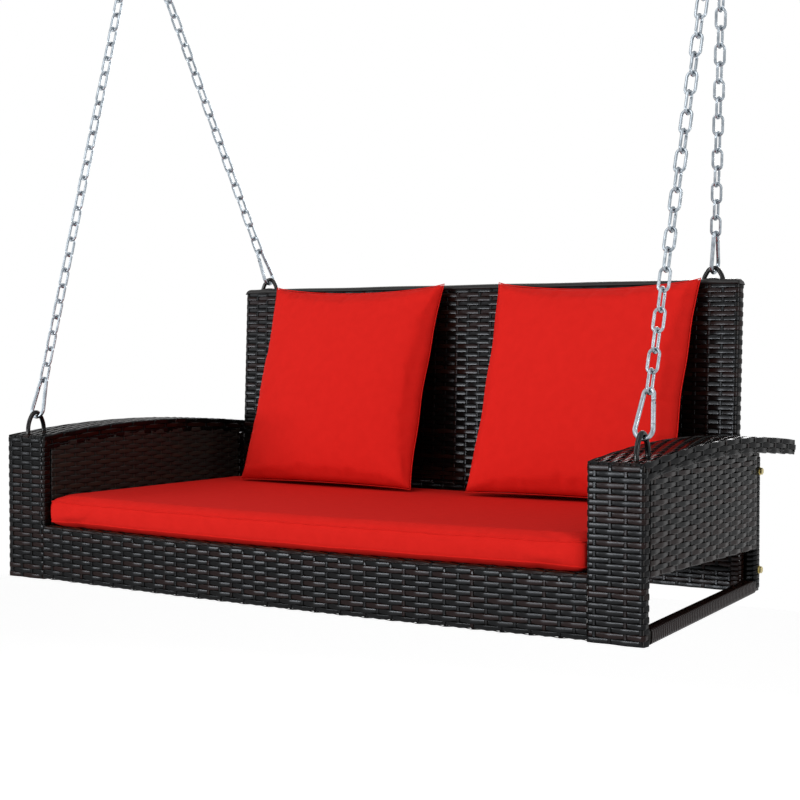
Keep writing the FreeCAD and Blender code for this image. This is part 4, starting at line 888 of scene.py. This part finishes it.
def covered(name, mesh, body, nodes):
    """A finished cover: shaded smooth and smoothed by one subdivision."""
    mesh.shade_smooth()
    piece = settle(name, mesh, body, red_cloth, nodes)
    smooth = piece.modifiers.new("smooth", "SUBSURF")
    smooth.levels = smooth.render_levels = 1


# %% [markdown]
# The panels of a cover are sewn with their edges inside, which stands up as a narrow ridge along each seam.

# %% Seam ridges
def seam(name, body, line, radius, ring=6):
    """A thin closed tube along a seam: at each point of the line a circle square to it, from its outer side round."""
    along = np.roll(line, -1, 0) - np.roll(line, 1, 0)
    along /= np.linalg.norm(along, axis=1, keepdims=True)
    out = line - line.mean(0)
    side = out - along * np.einsum("ij,ij->i", out, along)[:, None]
    side /= np.linalg.norm(side, axis=1, keepdims=True)
    up = np.cross(along, side)
    turn = np.linspace(0, 2 * np.pi, ring, endpoint=False)[None, :, None]
    rings = line[:, None] + radius * (np.cos(turn) * side[:, None] + np.sin(turn) * up[:, None])
    settle(name, tube_mesh(name, rings, True), body, red_cloth)


# %% [markdown]
# ## Seat cushion
# It is a foam block in a boxed cover: a top and a bottom panel joined by a band, with a seam along each edge. The
# starting shape is a rounded box. Once filled it is brought to its box again, its corners are drawn in to arcs as a
# cutter would shape them, and it sags with the seat's rails.

# %% Seat cushion
CUSHION_LOW, CUSHION_HIGH = (-INNER + 2, 2.5, DECK_TOP + 1.5), (INNER - 2, 552.0, DECK_TOP + 50.5)
CUSHION_MID = (CUSHION_LOW[1] + CUSHION_HIGH[1]) / 2
CUSHION_TURN = 10.0
EDGE_ROUND, BLOCK_CELL, CLOTH_CELL = 0.007, 0.02, 0.007


def rounded_box(low, high, radius, cell):
    """Cube grid pressed to a box: clamp each point to the inner box, then move out by radius from there."""
    counts = np.maximum(2, np.ceil((high - low) / cell).astype(int))
    corners, faces, base = [], [], 0
    for axis in range(3):
        a, b = [n for n in range(3) if n != axis]
        s, t = np.meshgrid(np.linspace(0, 1, counts[a] + 1), np.linspace(0, 1, counts[b] + 1), indexing="ij")
        for end in (0, 1):
            share = np.zeros(s.shape + (3,))
            share[..., a], share[..., b], share[..., axis] = s, t, end
            corners.append((low + share * (high - low)).reshape(-1, 3))
            faces.append(quads_of(base + np.arange(s.size).reshape(s.shape)))
            base += s.size
    points = np.concatenate(corners)
    inner = np.clip(points, low + radius, high - radius)
    away = points - inner
    points = inner + away / np.maximum(np.linalg.norm(away, axis=1, keepdims=True), 1e-9) * radius
    mesh = new_mesh("block", points, np.concatenate(faces))
    bm = bmesh.new()
    bm.from_mesh(mesh)
    bmesh.ops.remove_doubles(bm, verts=bm.verts, dist=1e-5)
    bmesh.ops.recalc_face_normals(bm, faces=bm.faces)
    bm.to_mesh(mesh)
    bm.free()
    return mesh


def fitted(spots):
    """Stretches the cushion's points to its width and depth, draws in its four corners and bows it with the rails."""
    low, high = to_frame(CUSHION_LOW), to_frame(CUSHION_HIGH)
    stretch = np.array([*((high - low) / (spots.max(0) - spots.min(0)))[:2], 1.0])
    spots = (spots - spots.mean(0)) * stretch + spots.mean(0)
    middle, turn = ((low + high) / 2)[:2], CUSHION_TURN * MM
    spots[:, :2] += middle - (spots.min(0) + spots.max(0))[:2] / 2
    flat = spots[:, :2] - middle
    beyond = np.maximum(np.abs(flat) - ((high - low)[:2] / 2 - turn), 0)
    inside = spots[:, :2] - np.sign(flat) * beyond
    far = np.maximum(np.hypot(*beyond.T)[:, None], 1e-9)
    spots[:, :2] = inside + (spots[:, :2] - inside) * np.minimum(1, turn / far)
    spots[:, 2] -= bow_drop(spots[:, 0] / MM) * MM
    return spots


def cushion_seam(name, height):
    """The ridge round the cushion at a height, wavering slightly, each point put on the cloth nearest to it."""
    wide, deep = (cushion_spots.max(0) - cushion_spots.min(0))[:2] / MM
    path = board_path(wide - 2.4, deep - 2.4, CUSHION_TURN, 9)
    s = np.linspace(0, path[0][-1], 520, endpoint=False)
    x, y = read_path(path, s, 0.5 * np.sin(s / 23.0) + 0.4 * np.sin(s / 9.1))
    line = to_frame(np.stack([x, y + CUSHION_MID, height - bow_drop(x) + 0.4 * np.sin(s / 31.0)], -1))
    seam(name, "seat_cushion", np.array([cushion_skin.find_nearest(point)[0] for point in line]), 0.0013)


cushion_mesh = rounded_box(to_frame(CUSHION_LOW), to_frame(CUSHION_HIGH), EDGE_ROUND, BLOCK_CELL)
cushion_mesh = fill_cloth(cushion_mesh, CLOTH_CELL, 3.0, 12, 0.005)
cushion_spots = fitted(points_of(cushion_mesh))
set_points(cushion_mesh, cushion_spots)
cushion_skin = BVHTree.FromPolygons(cushion_spots.tolist(), [face.vertices[:] for face in cushion_mesh.polygons])
covered("seat_cushion_cover", cushion_mesh, "seat_cushion", ["seat_cushion"])
cushion_seam("seat_cushion_top_seam", CUSHION_HIGH[2] - 3.0)
cushion_seam("seat_cushion_bottom_seam", CUSHION_LOW[2] + 4.0)

# %% [markdown]
# ## Pillows
# A throw pillow is two square panels sewn at their edges. Its filling pulls the sides in between the corners, leaves
# the corners as ears, and puckers the cloth along the seam. Blown up from flat it takes wild folds, so it starts
# nearly full: the thickness is a product of one curve across and one up, and cloth only firms it. The lower edge
# bears on the seat cushion and stays nearly straight.

# %% Pillows
PILLOW, PILLOW_THICK, PILLOW_CELLS = 404.0, 116.0, 72
TOP_WAIST, FOOT_WAIST, SIDE_WAIST = 14.0, 3.0, 6.0
PILLOW_LEAN, PILLOW_FOOT, PILLOW_REST = math.radians(17.2), 443.4, 152.8


def pucker(across, edge, seed):
    """Ripples along a seam: five sines of 17 to 60 mm, highest 14 mm in from the seam and gone at 60 mm."""
    rng = np.random.default_rng(seed)
    ripple = sum(rng.uniform(0.4, 1.0) * np.sin(2 * np.pi * across / length + rng.uniform(0, 6))
                 for length in (17, 23, 31, 43, 60))
    return ripple * edge / 14 * np.exp(1 - edge / 14)


def full_pillow(seed):
    """Front and back grids that share their border, in millimetres, and the border's point numbers.

    With s and t from -1 to 1 across and up, a side's edge draws in by its waist times 1 - t^2, and each face swells
    by ((1 - s^2)(1 - t^2)) to the power 0.56."""
    n, half = PILLOW_CELLS + 1, PILLOW / 2
    s, t = np.meshgrid(np.linspace(-1, 1, n), np.linspace(-1, 1, n), indexing="ij")
    x = half * s - (SIDE_WAIST + 1.2 * np.sin(9 * t + 2 * s)) * s * np.abs(s) * (1 - t ** 2)
    z = half * t - np.where(t > 0, TOP_WAIST, FOOT_WAIST) * t * np.abs(t) * (1 - s ** 2)
    swell = PILLOW_THICK / 2 * 0.92 * ((1 - s ** 2) * (1 - t ** 2)) ** 0.56
    sides = []
    for face in (-1, 1):
        fold = sum(pucker(along, half * (1 - end * other), seed + 5 * face + 10 * number)
                   for number, (along, other, end) in enumerate(((x, t, 1), (x, t, -1), (z, s, 1), (z, s, -1))))
        sides.append(np.stack([x, face * np.maximum(swell + 0.55 * fold, 0.02 * swell), z], -1))
    inner = np.zeros((n, n), bool)
    inner[1:-1, 1:-1] = True
    front = np.arange(n * n).reshape(n, n)
    back = front.copy()
    back[inner] = n * n + np.arange(inner.sum())
    points = np.concatenate([sides[0].reshape(-1, 3), sides[1][inner]])
    faces = np.concatenate([quads_of(front), quads_of(back)[:, ::-1]])
    if not outward(points, faces):
        faces = faces[:, ::-1]
    k = np.arange(n - 1)
    border = np.concatenate([k * n, (n - 1) * n + k, (n - 1 - k) * n + n - 1, n - 1 - k])
    return points, faces, border


def pillow(name, middle, seed):
    """Firms a pillow by cloth, brings it to its size, stands it on its lower edge and leans it back."""
    points, faces, border = full_pillow(seed)
    mesh = new_mesh(name, points * MM, faces)
    mesh = fill_cloth(mesh, 0, 4.0, 14, 0.007)
    spots = points_of(mesh)
    low, high = spots.min(0), spots.max(0)
    want = np.array([PILLOW, PILLOW_THICK, PILLOW]) * MM
    print(name, "filled size", np.round((high - low) / MM, 1))
    spots = (spots - (low + high) / 2) * want / (high - low)
    spots[:, 2] += want[2] / 2
    y, z = spots[:, 1].copy(), spots[:, 2].copy()
    spots[:, 1] = y * math.cos(PILLOW_LEAN) + z * math.sin(PILLOW_LEAN)
    spots[:, 2] = z * math.cos(PILLOW_LEAN) - y * math.sin(PILLOW_LEAN)
    spots += to_frame((middle, PILLOW_FOOT, PILLOW_REST))
    set_points(mesh, spots)
    covered(name + "_cover", mesh, name, [name])
    seam(name + "_seam", name, spots[border], 0.001)


pillow("pillow_left", -246.0, 15)
pillow("pillow_right", 277.0, 29)

# %% [markdown]
# ## Light and floor
# The photograph was lit from the camera's side on white, so the fronts are brighter than the tops. What draws the
# weave is one long bright window, far behind the camera: each strip's crest mirrors it as a short dash. Four soft
# boxes fill in: one high, one to each side, and one behind for the back of the seat. The surroundings are white to
# the camera and in reflections, and the lamps alone set how bright the object is.

# %% Light and floor
SEAT_MIDDLE = np.array([0.0, -0.1, -1.1])
LAMPS = {  # degrees left of straight ahead, degrees up, metres away, metres wide and high, brightness
    "far_window": (21.5, -2, 30.0, 13.0, 2.0, 43),
    "high_box": (-8, 52, 3.3, 2.0, 2.0, 2.75),
    "left_box": (62, 20, 3.0, 1.4, 1.4, 2.6),
    "right_box": (-80, 10, 3.0, 0.6, 1.0, 8.0),
    "back_box": (170, 22, 3.4, 1.2, 1.2, 11.0),
}
FLOOR_HALF, FLOOR_LEVEL = 6.0, -2.3


def plain_sight(tree):
    """1 for the camera's rays and for those seen in a reflection or through glass, 0 for light on its way."""
    rays = add(tree, "ShaderNodeLightPath").outputs
    seen = add(tree, "ShaderNodeMath", {0: rays["Is Camera Ray"], 1: rays["Is Glossy Ray"]}, operation="MAXIMUM")
    return add(tree, "ShaderNodeMath", {0: seen.outputs[0], 1: rays["Is Transmission Ray"]},
               operation="MAXIMUM").outputs[0]


def white_surroundings():
    """A world that is white in plain sight and dimmer as a source of light."""
    world = bpy.data.worlds.new("studio")
    bpy.context.scene.world = world
    world.use_nodes = True
    tree = world.node_tree
    tree.nodes.clear()
    soft = add(tree, "ShaderNodeBackground", {"Color": colour("ffffff"), "Strength": 0.4}).outputs[0]
    white = add(tree, "ShaderNodeBackground", {"Color": colour("ffffff"), "Strength": 1.0}).outputs[0]
    both = add(tree, "ShaderNodeMixShader", {0: plain_sight(tree), 1: soft, 2: white}).outputs[0]
    add(tree, "ShaderNodeOutputWorld", {"Surface": both})


def soft_box(name, aside, rise, away, wide, high, brightness):
    """An area lamp that faces the seat, placed by its angle left of straight ahead, its angle up and its distance.

    Its power is brightness * pi * area, so the brightness of its face is a number that stays when its size changes."""
    turn, lift = math.radians(aside), math.radians(rise)
    line = np.array([-math.sin(turn) * math.cos(lift), -math.cos(turn) * math.cos(lift), math.sin(lift)]) * away
    lamp = bpy.data.lights.new(name, "AREA")
    lamp.shape, lamp.size, lamp.size_y = "RECTANGLE", wide, high
    lamp.energy = brightness * math.pi * wide * high
    box = bpy.data.objects.new(name, lamp)
    box.location = SEAT_MIDDLE + line
    box.rotation_euler = (math.radians(90 - rise), 0, -turn)
    bpy.context.scene.collection.objects.link(box)


def white_floor():
    """A matt floor that glows a little in plain sight, so that it melts into the white behind."""
    corners = np.array([(-1, -1, 0), (1, -1, 0), (1, 1, 0), (-1, 1, 0)]) * FLOOR_HALF + (0, 0, FLOOR_LEVEL)
    mesh = new_mesh("floor", corners, [(0, 1, 2, 3)])
    floor = bpy.data.objects.new("floor", mesh)
    bpy.context.scene.collection.objects.link(floor)
    paint, tree, shader = new_material("matt white paint", {"Base Color": colour("e8e8e8"), "Roughness": 0.9})
    glow = add(tree, "ShaderNodeEmission", {"Color": colour("ffffff"), "Strength": 0.6}).outputs[0]
    lit = add(tree, "ShaderNodeAddShader", {0: shader.outputs[0], 1: glow}).outputs[0]
    mixed = add(tree, "ShaderNodeMixShader", {0: plain_sight(tree), 1: shader.outputs[0], 2: lit})
    output = [node for node in tree.nodes if node.type == "OUTPUT_MATERIAL"][0]
    tree.links.new(mixed.outputs[0], output.inputs["Surface"])
    mesh.materials.append(paint)


white_surroundings()
for lamp_name, lamp_place in LAMPS.items():
    soft_box(lamp_name, *lamp_place)
white_floor()
bpy.context.scene.view_settings.view_transform = "Standard"
